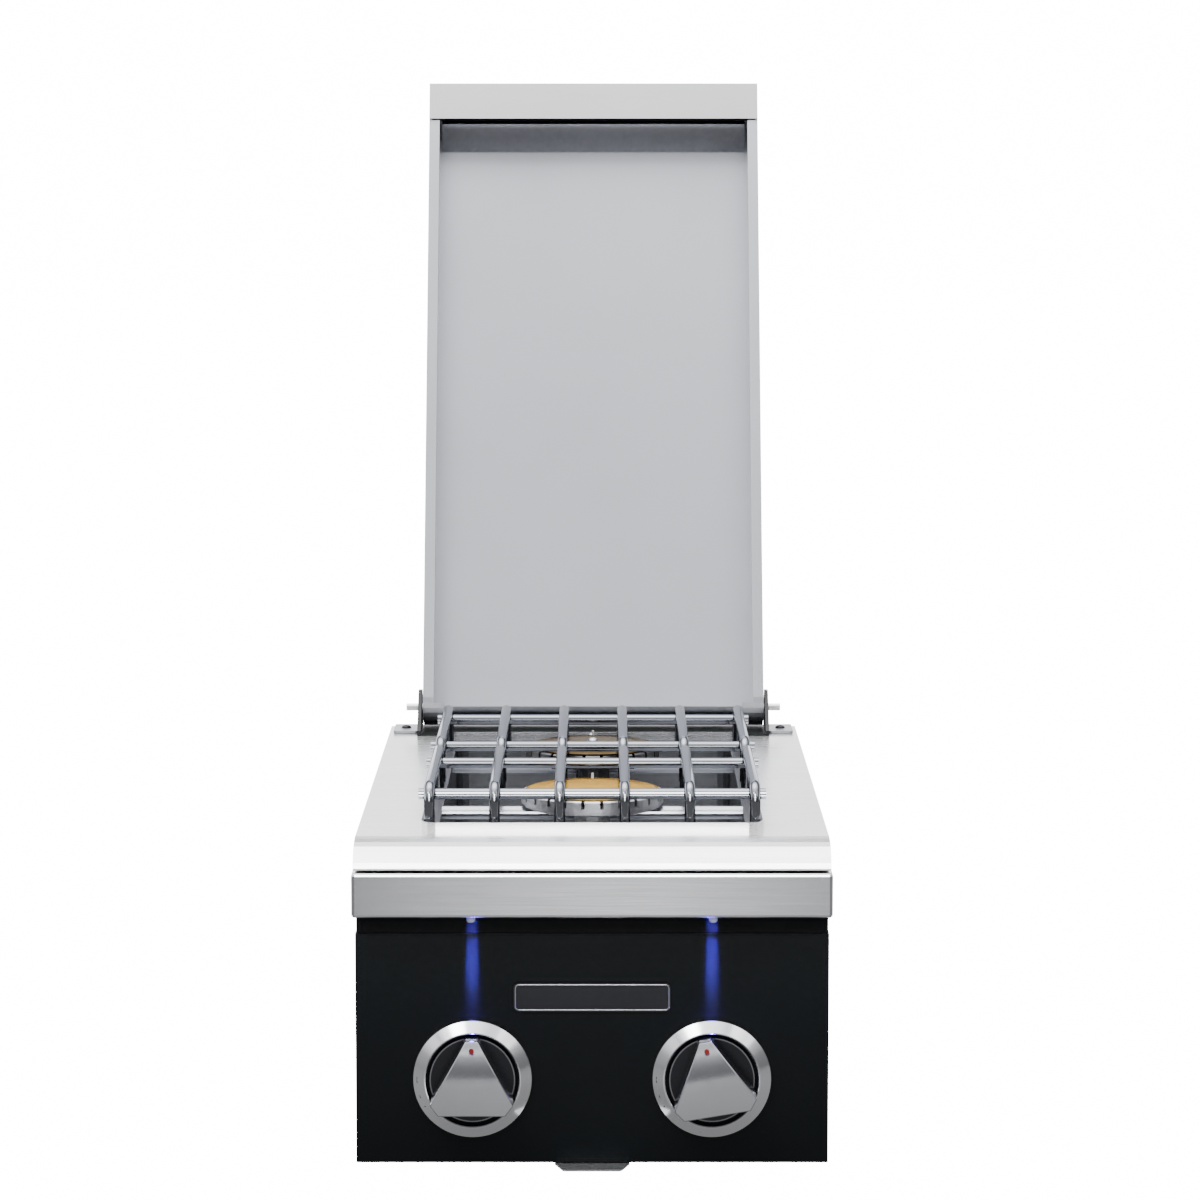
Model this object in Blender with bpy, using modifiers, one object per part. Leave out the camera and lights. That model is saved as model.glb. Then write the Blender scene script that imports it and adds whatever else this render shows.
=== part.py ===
"""Built-in double side burner for an outdoor kitchen.

Two gas burners sit one behind the other in a drop-in steel body. The lid stands
open behind them, two bent-rod grates lie over them, and two knobs face the front.
Metres, +X to the user's right, +Y to the back, +Z up. The origin is the centre of
the base plate's underside. Depths are measured back from the deck's front bend and
heights up from the deck's top face, through back() and up().
"""

import math

import bmesh
import bpy
from mathutils import Matrix, Vector

# Fits
GAP = 0.0003
SHEET = 0.0012
PIN_PLAY = 0.0004

# Body
DECK_WIDTH = 0.343
DECK_DEPTH = 0.541
DECK_HEIGHT = 0.254
DECK_FLANGE = 0.0125
BASE_SETBACK = 0.056
REAR_OVERHANG = 0.020
BASE_THICKNESS = 0.0015
PANEL_BOTTOM = 0.013

# Rolled front of the deck, and the trim under it
ROLL_REACH = 0.034
ROLL_DROP = 0.0178
ROLL_EDGE = 0.0012
BULLNOSE_OVERHANG = 0.00125
BULLNOSE_FRONT = 0.036
BULLNOSE_TOP = -0.0207
BULLNOSE_HEIGHT = 0.0328
BULLNOSE_RADIUS = 0.0025
CHANNEL_FACE = 0.0027
CHANNEL_INSET = 0.0005

# Control panel
PANEL_OVERHANG = 0.0005
PANEL_TOP = -0.0715
PANEL_FACE = 0.002
PANEL_RETURN = 0.014
PANEL_THICKNESS = 0.0015
PLATE_LENGTH = 0.114
PLATE_HEIGHT = 0.021
PLATE_THICKNESS = 0.0015
PLATE_DROP = -0.118

# Grate opening and the pan under it
OPENING_FRONT = 0.022
OPENING_LENGTH = 0.4446
COLLAR_WIDTH = 0.2524
COLLAR_HEIGHT = 0.006
COLLAR_RADIUS = 0.012
PAN_WIDTH = 0.226
PAN_FLANGE_WIDTH = 0.276
PAN_LEDGE = 0.020
PAN_FLANGE = 0.0095
PAN_DEPTH = 0.062
PAN_SHEET = 0.001
PAN_RADIUS = 0.010
SCREW_X = -0.001
SCREW_RISE = 0.0022
SCREW_HEAD = 0.0066
SCREW_DOME = 0.0022

# Grates
BAR = 0.008
BAR_COUNT = 6
BAR_PITCH = 0.0477
GRATE_LENGTH = 0.196
GRATE_PITCH = 0.218
GRATE_FRONT = 0.033
GRATE_TOP = 0.0335
GRATE_BEND = 0.011
ROD_OVERHANG = 0.0045
ROD_FRONT = 0.020
ROD_REAR = 0.165
ROD_WELD = 0.0008

# Burners
BURNER_FRONT = 0.113
BURNER_PITCH = 0.218
HEAD_RADIUS = 0.0533
HEAD_WALL = 0.009
HEAD_BOTTOM = 0.0066
HEAD_TOP = 0.015
HEAD_CHAMFER = 0.001
PORT_COUNT = 24
PORT_WIDTH = 0.0026
PORT_SILL = 0.0026
CAP_RADIUS = 0.0505
CAP_RISE = 0.0033
CAP_EDGE = 0.0008
CAP_SKIRT = 0.003
BASE_FLOOR = 0.003
BASE_INSET = 0.002
BASE_CHAMFER = 0.002
SUPPORT_ROD = 0.010
SUPPORT_ROD_Z = -0.002
SADDLE_X = 0.030
SADDLE_WIDTH = 0.006
THROAT_OFFSET = 0.026
THROAT_BORE = 0.0226
THROAT_WALL = 0.0018
THROAT_LENGTH = 0.024
TUBE = 0.022
TUBE_BORE = 0.019
TUBE_INSERT = 0.010
TUBE_KNEE = 0.025
TUBE_LEAVE = 0.020
TUBE_RISE = 0.045
ELECTRODE = 0.006
ELECTRODE_REACH = 0.0065
ELECTRODE_WIRE = 0.002
ELECTRODE_TIP = 0.0185
ELECTRODE_NECK = 0.0125
ELECTRODE_COLLAR = 0.0085
ELECTRODE_TAIL = 0.012
LUG_WELD = 0.008

# Knobs and valves
KNOB_X = 0.087
KNOB_Z = -0.1779
KNOB_PUSH = 0.003
KNOB_BASE_DEPTH = 0.004
KNOB_DEPTH = 0.0285
KNOB_RADIUS = 0.033
KNOB_DISC = 0.0315
KNOB_CORNER = 0.0015
KNOB_TIP = 0.004
RIGHT_KNOB_TURN = math.radians(9.5)
DOT_RADIUS = 0.0018
DOT_RISE = 0.0272
DOT_THICKNESS = 0.0006
BEZEL_OUTER = 0.0435
BEZEL_INNER = 0.034
BEZEL_EDGE = 0.004
BEZEL_DEPTH = 0.010
BEZEL_LIP = 0.0012
BEZEL_CHAMFER = 0.0008
STEM = 0.008
STEM_PLAY = 0.0003
STEM_END_PLAY = 0.0015
STEM_COLLAR = 0.004
STEM_COLLAR_WALL = 0.0025
VALVE_FRONT = 0.014
VALVE_LENGTH = 0.030
VALVE_WIDTH = 0.026
VALVE_HEIGHT = 0.024
STEM_INSERT = 0.020
SPIGOT = 0.012
SPIGOT_LENGTH = 0.005
WELD = 0.001
ORIFICE = 0.008
ORIFICE_LENGTH = 0.014
ORIFICE_FLANGE = 0.004
ORIFICE_CHAMFER = 0.002
TUBE_START = 0.0515
SHUTTER_LENGTH = 0.014
SHUTTER_WALL = 0.001

# Gas supply
MANIFOLD = 0.0213
MANIFOLD_LEFT = -0.118
SUPPLY_X = 0.142
SUPPLY_TUBE = 0.0127
ELBOW = 0.024
FITTING_SHANK = 0.013
FITTING_SHANK_LENGTH = 0.008
FITTING_HEX = 0.024
FITTING_HEX_LENGTH = 0.010
FITTING_NOSE = 0.016
FITTING_NOSE_END = 0.019
FITTING_BORE = 0.010

# Front lights
LENS = 0.0064
LENS_DROP = 0.004
LENS_EDGE = 0.001
LENS_Y = -0.029
LIGHT_BOX = 0.0088

# Lid, drawn closed round its pin line and then swung open
LID_OPEN = math.radians(111.756)
LID_WIDTH = 0.287
PIN_FROM_REAR = 0.020
PIN_HEIGHT = 0.0192
LID_SEAT = 0.0005
LID_REACH = 0.5557
LID_TAIL = 0.013
LID_TAIL_EDGE = 0.004
LID_DEPTH = 0.045
LID_REAR_RADIUS = 0.0175
LID_EDGE_RADIUS = 0.006
LID_RIM = 0.009
LID_CORNER_RIM = 0.018
STRIP_LENGTH = 0.0313
LINER_END = 0.507
LINER_TAIL = 0.007
LINER_TAIL_RADIUS = 0.0145
LINER_TUCK = 0.002
LINER_DEPTH = 0.037
LINER_SHEET = 0.001

# Hinges
HINGE_PIN = 0.006
PIN_REACH = 0.0105
PIN_GRIP = 0.0055
EAR_GAP = 0.001
EAR_THICKNESS = 0.003
EAR_TOP = 0.034
EAR_CROWN = 0.015
EAR_CROWN_RADIUS = 0.0065
EAR_REAR_HEIGHT = 0.010
EAR_FRONT_HEIGHT = 0.004
BRACKET_FRONT = 0.484
BRACKET_THICKNESS = 0.0015
BRACKET_REAR_MARGIN = 0.004
FOOT_MARGIN = 0.0035
FOOT_LENGTH = 0.039
FOOT_THICKNESS = 0.002
FOOT_HOLE = 0.005

# Drip tray
TRAY_WIDTH = 0.280
TRAY_SHEET = 0.001
TRAY_REAR = 0.500
TRAY_FRONT_SETBACK = 0.004
TONGUE_WIDTH = 0.0547
TONGUE_TIP = 0.042
TONGUE_REACH = 0.020
TONGUE_THICKNESS = 0.0012
TONGUE_RADIUS = 0.003
TONGUE_WELD = 0.0002
GUIDE_WIDTH = 0.010

# Derived places
FRONT_BEND_Y = -(BASE_SETBACK + DECK_DEPTH - REAR_OVERHANG) / 2


def back(distance):
    """World Y this far behind the deck's front bend."""
    return FRONT_BEND_Y + distance


def up(height):
    """World Z this far above the deck's top face."""
    return DECK_HEIGHT + height


BODY_WIDTH = DECK_WIDTH - 2 * DECK_FLANGE
BULLNOSE_WIDTH = DECK_WIDTH + 2 * BULLNOSE_OVERHANG
CHANNEL_WIDTH = DECK_WIDTH - 2 * CHANNEL_INSET
PANEL_WIDTH = DECK_WIDTH + 2 * PANEL_OVERHANG
PIN_Y = back(DECK_DEPTH - PIN_FROM_REAR)
PIN_Z = up(PIN_HEIGHT)
UNDER_DECK = -SHEET - GAP
BODY_REAR = DECK_DEPTH - REAR_OVERHANG
PANEL_REAR = PANEL_RETURN - PANEL_FACE
HOUSING_FRONT = PANEL_REAR + GAP
PAN_TOP = UNDER_DECK
MANIFOLD_Z = KNOB_Z - VALVE_HEIGHT / 2 - SPIGOT_LENGTH - GAP - MANIFOLD / 2
MANIFOLD_Y = VALVE_FRONT + VALVE_LENGTH / 2
TRAY_BOTTOM = BASE_THICKNESS + GAP
TRAY_TOP = PANEL_BOTTOM - GAP - TONGUE_THICKNESS
RIM_Z = LID_SEAT - PIN_HEIGHT
SKIN_Z = RIM_Z + LID_DEPTH
STRIP_SHEET_TOP = RIM_Z + SHEET + GAP

COLOURS = {
    "steel": ((0.66, 0.67, 0.69), 0.32, 1.0),
    "bright_steel": ((0.80, 0.81, 0.83), 0.22, 1.0),
    "lid_steel": ((0.60, 0.62, 0.65), 0.38, 1.0),
    "black": ((0.012, 0.015, 0.019), 0.42, 0.0),
    "chrome": ((0.85, 0.86, 0.88), 0.08, 1.0),
    "satin": ((0.62, 0.63, 0.65), 0.28, 1.0),
    "brass": ((0.66, 0.50, 0.24), 0.30, 1.0),
    "aluminium": ((0.58, 0.58, 0.58), 0.48, 1.0),
    "zinc": ((0.42, 0.43, 0.44), 0.45, 1.0),
    "dark_pan": ((0.10, 0.10, 0.11), 0.45, 0.9),
    "red": ((0.55, 0.03, 0.02), 0.40, 0.0),
    "lens": ((0.55, 0.62, 0.90), 0.12, 0.0),
    "ceramic": ((0.82, 0.80, 0.75), 0.40, 0.0),
}


# Scene helpers

def clear_scene():
    """Remove the scene's objects and hand back the two collections."""
    for obj in list(bpy.data.objects):
        bpy.data.objects.remove(obj, do_unlink=True)
    parts = bpy.data.collections.new("double_side_burner")
    tools = bpy.data.collections.new("cutters")
    for collection in (parts, tools):
        bpy.context.scene.collection.children.link(collection)
    return parts, tools


PARTS, TOOLS = clear_scene()


def material(colour):
    """The named Principled material, made the first time it is asked for."""
    found = bpy.data.materials.get(colour)
    if found:
        return found
    made = bpy.data.materials.new(colour)
    made.use_nodes = True
    base, roughness, metallic = COLOURS[colour]
    shader = made.node_tree.nodes["Principled BSDF"]
    shader.inputs["Base Color"].default_value = (*base, 1.0)
    shader.inputs["Roughness"].default_value = roughness
    shader.inputs["Metallic"].default_value = metallic
    made.diffuse_color = (*base, 1.0)
    return made


def add(name, mesh, colour):
    """Put a mesh in the scene: a part with a colour, or a cutter without one."""
    obj = bpy.data.objects.new(name, mesh)
    if colour is None:
        TOOLS.objects.link(obj)
        obj.hide_render = True
        obj.display_type = "WIRE"
        return obj
    PARTS.objects.link(obj)
    mesh.materials.append(material(colour))
    return obj


def block(name, x, y, z, colour=None):
    """A box between the given low and high corners."""
    bm = bmesh.new()
    bmesh.ops.create_cube(bm, size=1.0)
    size = Vector((x[1] - x[0], y[1] - y[0], z[1] - z[0]))
    centre = Vector(((x[0] + x[1]) / 2, (y[0] + y[1]) / 2, (z[0] + z[1]) / 2))
    bmesh.ops.scale(bm, vec=size, verts=bm.verts)
    bmesh.ops.translate(bm, vec=centre, verts=bm.verts)
    mesh = bpy.data.meshes.new(name)
    bm.to_mesh(mesh)
    bm.free()
    return add(name, mesh, colour)


AXES = {
    "X": Matrix.Rotation(math.radians(90), 4, "Y"),
    "Y": Matrix.Rotation(math.radians(-90), 4, "X"),
    "Z": Matrix.Identity(4),
}


def cylinder(name, centre, radius, length, axis, colour=None, sides=20):
    """A round bar about its centre, along X, Y or Z."""
    bm = bmesh.new()
    bmesh.ops.create_cone(
        bm, cap_ends=True, segments=sides, radius1=radius, radius2=radius, depth=length,
        matrix=Matrix.Translation(centre) @ AXES[axis])
    mesh = bpy.data.meshes.new(name)
    bm.to_mesh(mesh)
    bm.free()
    mesh.shade_smooth()
    mesh.set_sharp_from_angle(angle=math.radians(40))
    return add(name, mesh, colour)


def rounded(corners, steps=3):
    """Outline through (u, v, radius) corners, each rounded by an arc of its radius."""
    points = []
    count = len(corners)
    for index, (u, v, radius) in enumerate(corners):
        here = Vector((u, v))
        if radius <= 0:
            points.append(here)
            continue
        before = (Vector(corners[index - 1][:2]) - here).normalized()
        after = (Vector(corners[(index + 1) % count][:2]) - here).normalized()
        half = before.angle(after) / 2
        centre = here + (before + after).normalized() * (radius / math.sin(half))
        start = here + before * (radius / math.tan(half)) - centre
        end = here + after * (radius / math.tan(half)) - centre
        sweep = start.angle_signed(end)
        for step in range(steps + 1):
            turn = Matrix.Rotation(-sweep * step / steps, 2)
            points.append(centre + turn @ start)
    return points


def rectangle(u, v, radius=0.0):
    """Corners of a rectangle between low and high values, rounded alike."""
    return [(u[0], v[0], radius), (u[1], v[0], radius), (u[1], v[1], radius), (u[0], v[1], radius)]


PLANES = {
    "XY": Matrix.Identity(3),
    "YZ": Matrix(((0, 0, 1), (1, 0, 0), (0, 1, 0))),
    "XZ": Matrix(((1, 0, 0), (0, 0, -1), (0, 1, 0))),
}


def solid_from_curve(obj, name, colour):
    """Turn a curve object into a welded mesh object at its place."""
    bpy.context.scene.collection.objects.link(obj)
    bpy.context.view_layer.update()
    evaluated = obj.evaluated_get(bpy.context.evaluated_depsgraph_get())
    mesh = bpy.data.meshes.new_from_object(evaluated)
    mesh.name = name
    mesh.transform(obj.matrix_world)
    bm = bmesh.new()
    bm.from_mesh(mesh)
    bmesh.ops.remove_doubles(bm, verts=bm.verts, dist=0.000005)
    bmesh.ops.recalc_face_normals(bm, faces=bm.faces)
    bm.to_mesh(mesh)
    bm.free()
    mesh.materials.clear()
    bpy.data.objects.remove(obj, do_unlink=True)
    return add(name, mesh, colour)


def prism(name, corners, plane, low, high, colour=None, steps=3):
    """A flat outline in the given plane, extruded from low to high across it."""
    curve = bpy.data.curves.new(name, "CURVE")
    curve.dimensions = "2D"
    curve.fill_mode = "BOTH"
    curve.extrude = (high - low) / 2
    outline = rounded(corners, steps)
    spline = curve.splines.new("POLY")
    spline.points.add(len(outline) - 1)
    for point, place in zip(spline.points, outline):
        point.co = (place.x, place.y, 0.0, 1.0)
    spline.use_cyclic_u = True
    obj = bpy.data.objects.new(name, curve)
    turn = PLANES[plane]
    middle = (low + high) / 2
    normal = {"XY": Vector((0, 0, 1)), "YZ": Vector((1, 0, 0)), "XZ": Vector((0, 1, 0))}[plane]
    obj.matrix_world = Matrix.Translation(normal * middle) @ turn.to_4x4()
    made = solid_from_curve(obj, name, colour)
    made.data.shade_smooth()
    made.data.set_sharp_from_angle(angle=math.radians(35))
    return made


def rod(name, points, radius, colour=None):
    """A round rod along straight runs between points."""
    curve = bpy.data.curves.new(name, "CURVE")
    curve.dimensions = "3D"
    curve.bevel_depth = radius
    curve.bevel_resolution = 2
    curve.use_fill_caps = True
    spline = curve.splines.new("POLY")
    spline.points.add(len(points) - 1)
    for point, place in zip(spline.points, points):
        point.co = (*place, 1.0)
    made = solid_from_curve(bpy.data.objects.new(name, curve), name, colour)
    made.data.shade_smooth()
    made.data.set_sharp_from_angle(angle=math.radians(50))
    return made


def swept(stations, steps=8):
    """Points of a smooth run through (place, direction, reach) stations."""
    points = [Vector(stations[0][0])]
    for (start, aim, reach), (end, heading, pull) in zip(stations, stations[1:]):
        first = Vector(start)
        last = Vector(end)
        leave = first + Vector(aim) * reach
        arrive = last - Vector(heading) * pull
        for step in range(1, steps + 1):
            t = step / steps
            s = 1 - t
            points.append(first * s**3 + leave * (3 * s * s * t) + arrive * (3 * s * t * t) + last * t**3)
    return points


def turned(name, profile, place, axis="Z", colour=None, steps=32, ring=False):
    """A lathe shape: (radius, height) points run down the outside, about an axis."""
    mesh = bpy.data.meshes.new(name)
    edges = [(index, index + 1) for index in range(len(profile) - 1)]
    if ring:
        edges.append((len(profile) - 1, 0))
    mesh.from_pydata([(radius, 0.0, height) for radius, height in profile], edges, [])
    obj = add(name, mesh, colour)
    obj.matrix_world = Matrix.Translation(place) @ AXES[axis]
    screw = obj.modifiers.new("turn", "SCREW")
    screw.axis = "Z"
    screw.angle = math.tau
    screw.steps = steps
    screw.render_steps = steps
    screw.use_merge_vertices = True
    screw.merge_threshold = 0.00001
    return obj


def combine(target, operation, tools):
    """Boolean the tools into the target, one modifier each."""
    for tool in tools:
        modifier = target.modifiers.new(tool.name, "BOOLEAN")
        modifier.operation = operation
        modifier.solver = "EXACT"
        modifier.object = tool
    return target


def cut(target, *tools):
    """Take the tools' volume out of the target."""
    return combine(target, "DIFFERENCE", tools)


def join(target, *tools):
    """Weld the tools onto the target."""
    return combine(target, "UNION", tools)


def soften(obj, width, segments=2, angle=60):
    """Round the sharp edges of an object."""
    bevel = obj.modifiers.new("edges", "BEVEL")
    bevel.width = width
    bevel.segments = segments
    bevel.limit_method = "ANGLE"
    bevel.angle_limit = math.radians(angle)
    return obj


def move_origin(obj, place):
    """Put an object's origin on its joint, leaving its shape where it is."""
    bpy.context.view_layer.update()
    place = Vector(place)
    obj.data.transform(Matrix.Translation(obj.matrix_world.translation - place))
    obj.location = place


def sides():
    """The two hands: name, sign of X."""
    return (("left", -1), ("right", 1))


def span(centre, size):
    """Low and high values about a centre."""
    return (centre - size / 2, centre + size / 2)


# Body

def base_plate():
    block("base_plate", span(0, BODY_WIDTH), (back(BASE_SETBACK), back(BODY_REAR)),
          (0, BASE_THICKNESS), "zinc")


def housing():
    """Four walls with a stepped floor, and a front frame that the panel closes."""
    half = BODY_WIDTH / 2
    top = up(UNDER_DECK)
    step = PANEL_BOTTOM + SHEET
    shell = block("housing", (-half, half), (back(HOUSING_FRONT), back(BODY_REAR)),
                  (PANEL_BOTTOM, top), "zinc")
    lower = block("housing_lower", (-half, half), (back(BASE_SETBACK), back(BODY_REAR)),
                  (BASE_THICKNESS + GAP, step))
    frame = block("housing_frame", span(0, PANEL_WIDTH), (back(HOUSING_FRONT), back(HOUSING_FRONT + SHEET)),
                  (PANEL_BOTTOM, top))
    inside = block("housing_inside", (SHEET - half, half - SHEET),
                   (back(HOUSING_FRONT - SHEET), back(BODY_REAR - SHEET)), (step, top + SHEET))
    under = block("housing_under", (SHEET - half, half - SHEET),
                  (back(BASE_SETBACK - SHEET), back(BODY_REAR - SHEET)), (0, step + SHEET))
    gas_hole = cylinder("housing_gas_hole", (SUPPLY_X, back(BODY_REAR), up(MANIFOLD_Z)),
                        FITTING_SHANK / 2 + GAP, 4 * SHEET, "Y")
    join(shell, lower, frame)
    cut(shell, inside, under, gas_hole)


def roll_corners():
    """The deck's side outline from its rear edge round the rolled front."""
    arc = []
    steps = 7
    for step in range(steps + 1):
        angle = math.pi / 2 * step / steps
        arc.append((back(-ROLL_REACH * math.sin(angle)), up(ROLL_DROP * (math.cos(angle) - 1)), 0))
    edge = -ROLL_DROP - ROLL_EDGE
    return [(back(DECK_DEPTH), up(0), 0), *arc, (back(-ROLL_REACH), up(edge), 0),
            (back(-CHANNEL_FACE - GAP), up(edge), 0), (back(-CHANNEL_FACE - GAP), up(-SHEET), 0),
            (back(DECK_DEPTH), up(-SHEET), 0)]


def opening(inset, low, high, name):
    """The grate opening's rounded outline, drawn in by inset, as a block."""
    half = COLLAR_WIDTH / 2 - inset
    depth = (back(OPENING_FRONT + inset), back(OPENING_FRONT + OPENING_LENGTH - inset))
    return prism(name, rectangle((-half, half), depth, COLLAR_RADIUS - inset), "XY", low, high)


def top_deck():
    """One sheet rolled down at the front, its side edges folded under as the counter's rests."""
    deck = prism("top_deck", roll_corners(), "YZ", -DECK_WIDTH / 2, DECK_WIDTH / 2, "bright_steel")
    collar = opening(0, up(-SHEET / 2), up(COLLAR_HEIGHT), "collar_outer")
    hole = opening(SHEET, up(-3 * SHEET), up(COLLAR_HEIGHT + SHEET), "collar_inner")
    join(deck, collar)
    for side, sign in sides():
        hem = block(f"deck_hem_{side}", sorted((sign * (BODY_WIDTH / 2 + GAP), sign * DECK_WIDTH / 2)),
                    (back(HOUSING_FRONT + SHEET + GAP), back(DECK_DEPTH)), (up(-2 * SHEET), up(-SHEET / 2)))
        join(deck, hem)
    cut(deck, hole)


def pan_box(inset, low, high, name, colour=None):
    """The pan's well as a block, drawn in by inset from its inner faces."""
    half = PAN_WIDTH / 2 - inset
    front = OPENING_FRONT + PAN_LEDGE + inset
    rear = OPENING_FRONT + OPENING_LENGTH - PAN_LEDGE - inset
    return prism(name, rectangle((-half, half), (back(front), back(rear)), PAN_RADIUS - inset),
                 "XY", low, high, colour)


def burner_pan():
    """Sheet well hung under the deck; its flange is the ledge that the grates stand on."""
    well = pan_box(-PAN_SHEET, up(-PAN_DEPTH), up(PAN_TOP - PAN_SHEET / 2), "burner_pan", "dark_pan")
    flange_depth = (back(OPENING_FRONT - PAN_FLANGE), back(OPENING_FRONT + OPENING_LENGTH + PAN_FLANGE))
    flange = block("pan_flange", span(0, PAN_FLANGE_WIDTH), flange_depth,
                   (up(PAN_TOP - PAN_SHEET), up(PAN_TOP)))
    inside = pan_box(0, up(-PAN_DEPTH + PAN_SHEET), up(PAN_TOP + PAN_SHEET), "pan_inside")
    join(well, flange)
    cut(well, inside)
    for index, centre in enumerate(burner_centres()):
        hole = cylinder(f"pan_hole_{index}", (0, back(centre - THROAT_OFFSET), up(-PAN_DEPTH)),
                        TUBE, 4 * PAN_SHEET, "Z")
        cut(well, hole)


def bullnose_trim():
    """Folded band open at the back, with a hole for each light."""
    low = up(BULLNOSE_TOP - BULLNOSE_HEIGHT)
    high = up(BULLNOSE_TOP)
    front = back(-BULLNOSE_FRONT)
    rear = back(-CHANNEL_FACE - GAP)
    beyond = rear + 2 * BULLNOSE_RADIUS
    bar = block("bullnose_trim", span(0, BULLNOSE_WIDTH), (front, beyond), (low, high), "steel")
    soften(bar, BULLNOSE_RADIUS, 3)
    inner = BULLNOSE_WIDTH - 2 * SHEET
    inside = block("bullnose_inside", span(0, inner), (front + SHEET, beyond + SHEET),
                   (low + SHEET, high - SHEET))
    trim_back = block("bullnose_back", span(0, 2 * BULLNOSE_WIDTH), (rear, beyond + 2 * SHEET),
                      (low - SHEET, high + SHEET))
    cut(bar, inside, trim_back)
    for side, sign in sides():
        hole = cylinder(f"lens_hole_{side}", (sign * KNOB_X, back(LENS_Y), low), LENS / 2 + GAP,
                        4 * SHEET, "Z", sides=16)
        cut(bar, hole)


def front_channel():
    """Black C section that carries the deck's front, the band and the panel's top."""
    face = back(-CHANNEL_FACE)
    rear = back(PANEL_REAR)
    width = span(0, CHANNEL_WIDTH)
    bottom = up(PANEL_TOP) + GAP
    top = up(UNDER_DECK)
    outer = block("front_channel", width, (face, rear), (bottom, top), "black")
    inside = block("channel_inside", span(0, 2 * CHANNEL_WIDTH), (face + SHEET, rear + SHEET),
                   (bottom + SHEET, top - SHEET))
    cut(outer, inside)


def lights():
    for side, sign in sides():
        low = up(BULLNOSE_TOP - BULLNOSE_HEIGHT)
        x = sign * KNOB_X
        lens_top = low + SHEET
        lens_low = low - LENS_DROP
        half = LENS / 2
        turned(f"light_lens_{side}",
               [(0, lens_top - lens_low), (half, lens_top - lens_low), (half, LENS_EDGE),
                (half - LENS_EDGE, 0), (0, 0)],
               (x, back(LENS_Y), lens_low), "Z", "lens", 16)
        cylinder(f"light_housing_{side}", (x, back(LENS_Y), lens_top + GAP + LIGHT_BOX / 2),
                 LIGHT_BOX / 2, LIGHT_BOX, "Z", "black", 16)


def control_panel():
    """Black folded panel: a face with returns on all four sides and two stem holes."""
    half = PANEL_WIDTH / 2
    face = back(-PANEL_FACE)
    panel = block("control_panel", (-half, half), (face, back(PANEL_REAR)),
                  (PANEL_BOTTOM, up(PANEL_TOP)), "black")
    inside = block("panel_inside", (SHEET - half, half - SHEET),
                   (face + PANEL_THICKNESS, back(PANEL_REAR) + SHEET),
                   (PANEL_BOTTOM + SHEET, up(PANEL_TOP) - SHEET))
    cut(panel, inside)
    for side, sign in sides():
        hole = cylinder(f"stem_hole_{side}", (sign * KNOB_X, face, up(KNOB_Z)), 0.75 * STEM,
                        6 * PANEL_THICKNESS, "Y")
        cut(panel, hole)


def front_plate():
    """Plain bright plate in the middle of the panel."""
    height = span(up(PLATE_DROP), PLATE_HEIGHT)
    prism("front_plate", rectangle(span(0, PLATE_LENGTH), height, 0.004), "XZ",
          back(-PANEL_FACE - GAP) - PLATE_THICKNESS, back(-PANEL_FACE - GAP), "steel")


# Grates

def grate_bar(name, x, start, colour=None):
    """One bent rod: leg, bend, top run, bend, leg."""
    foot = up(PAN_TOP + GAP)
    top = up(GRATE_TOP - BAR / 2)
    front = start + BAR / 2
    rear = start + GRATE_LENGTH - BAR / 2
    steps = 4
    points = [(x, back(front), foot)]
    bend = []
    for step in range(steps + 1):
        angle = math.pi / 2 * step / steps
        bend.append((GRATE_BEND * (1 - math.cos(angle)), top - GRATE_BEND * (1 - math.sin(angle))))
    points += [(x, back(front + inward), z) for inward, z in bend]
    points += [(x, back(rear - inward), z) for inward, z in reversed(bend)]
    points.append((x, back(rear), foot))
    return rod(name, points, BAR / 2, colour)


def grate(name, start, flipped):
    """Six bent bars welded on two cross rods; the rear grate lies the other way round."""
    first = -BAR_PITCH * (BAR_COUNT - 1) / 2
    reach = -first + BAR / 2 + ROD_OVERHANG
    height = up(GRATE_TOP - BAR / 2 - BAR + ROD_WELD)
    body = grate_bar(name, first, start, "chrome")
    welded = [grate_bar(f"{name}_bar_{index}", first + BAR_PITCH * index, start)
              for index in range(1, BAR_COUNT)]
    for index, distance in enumerate((ROD_FRONT, ROD_REAR)):
        if flipped:
            distance = GRATE_LENGTH - distance
        y = back(start + distance)
        welded.append(rod(f"{name}_rod_{index}", [(-reach, y, height), (reach, y, height)], BAR / 2))
    order = welded[-2:] + welded[:-2]
    join(body, *order)


# Burners

def burner_centres():
    return (BURNER_FRONT, BURNER_FRONT + BURNER_PITCH)


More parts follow.
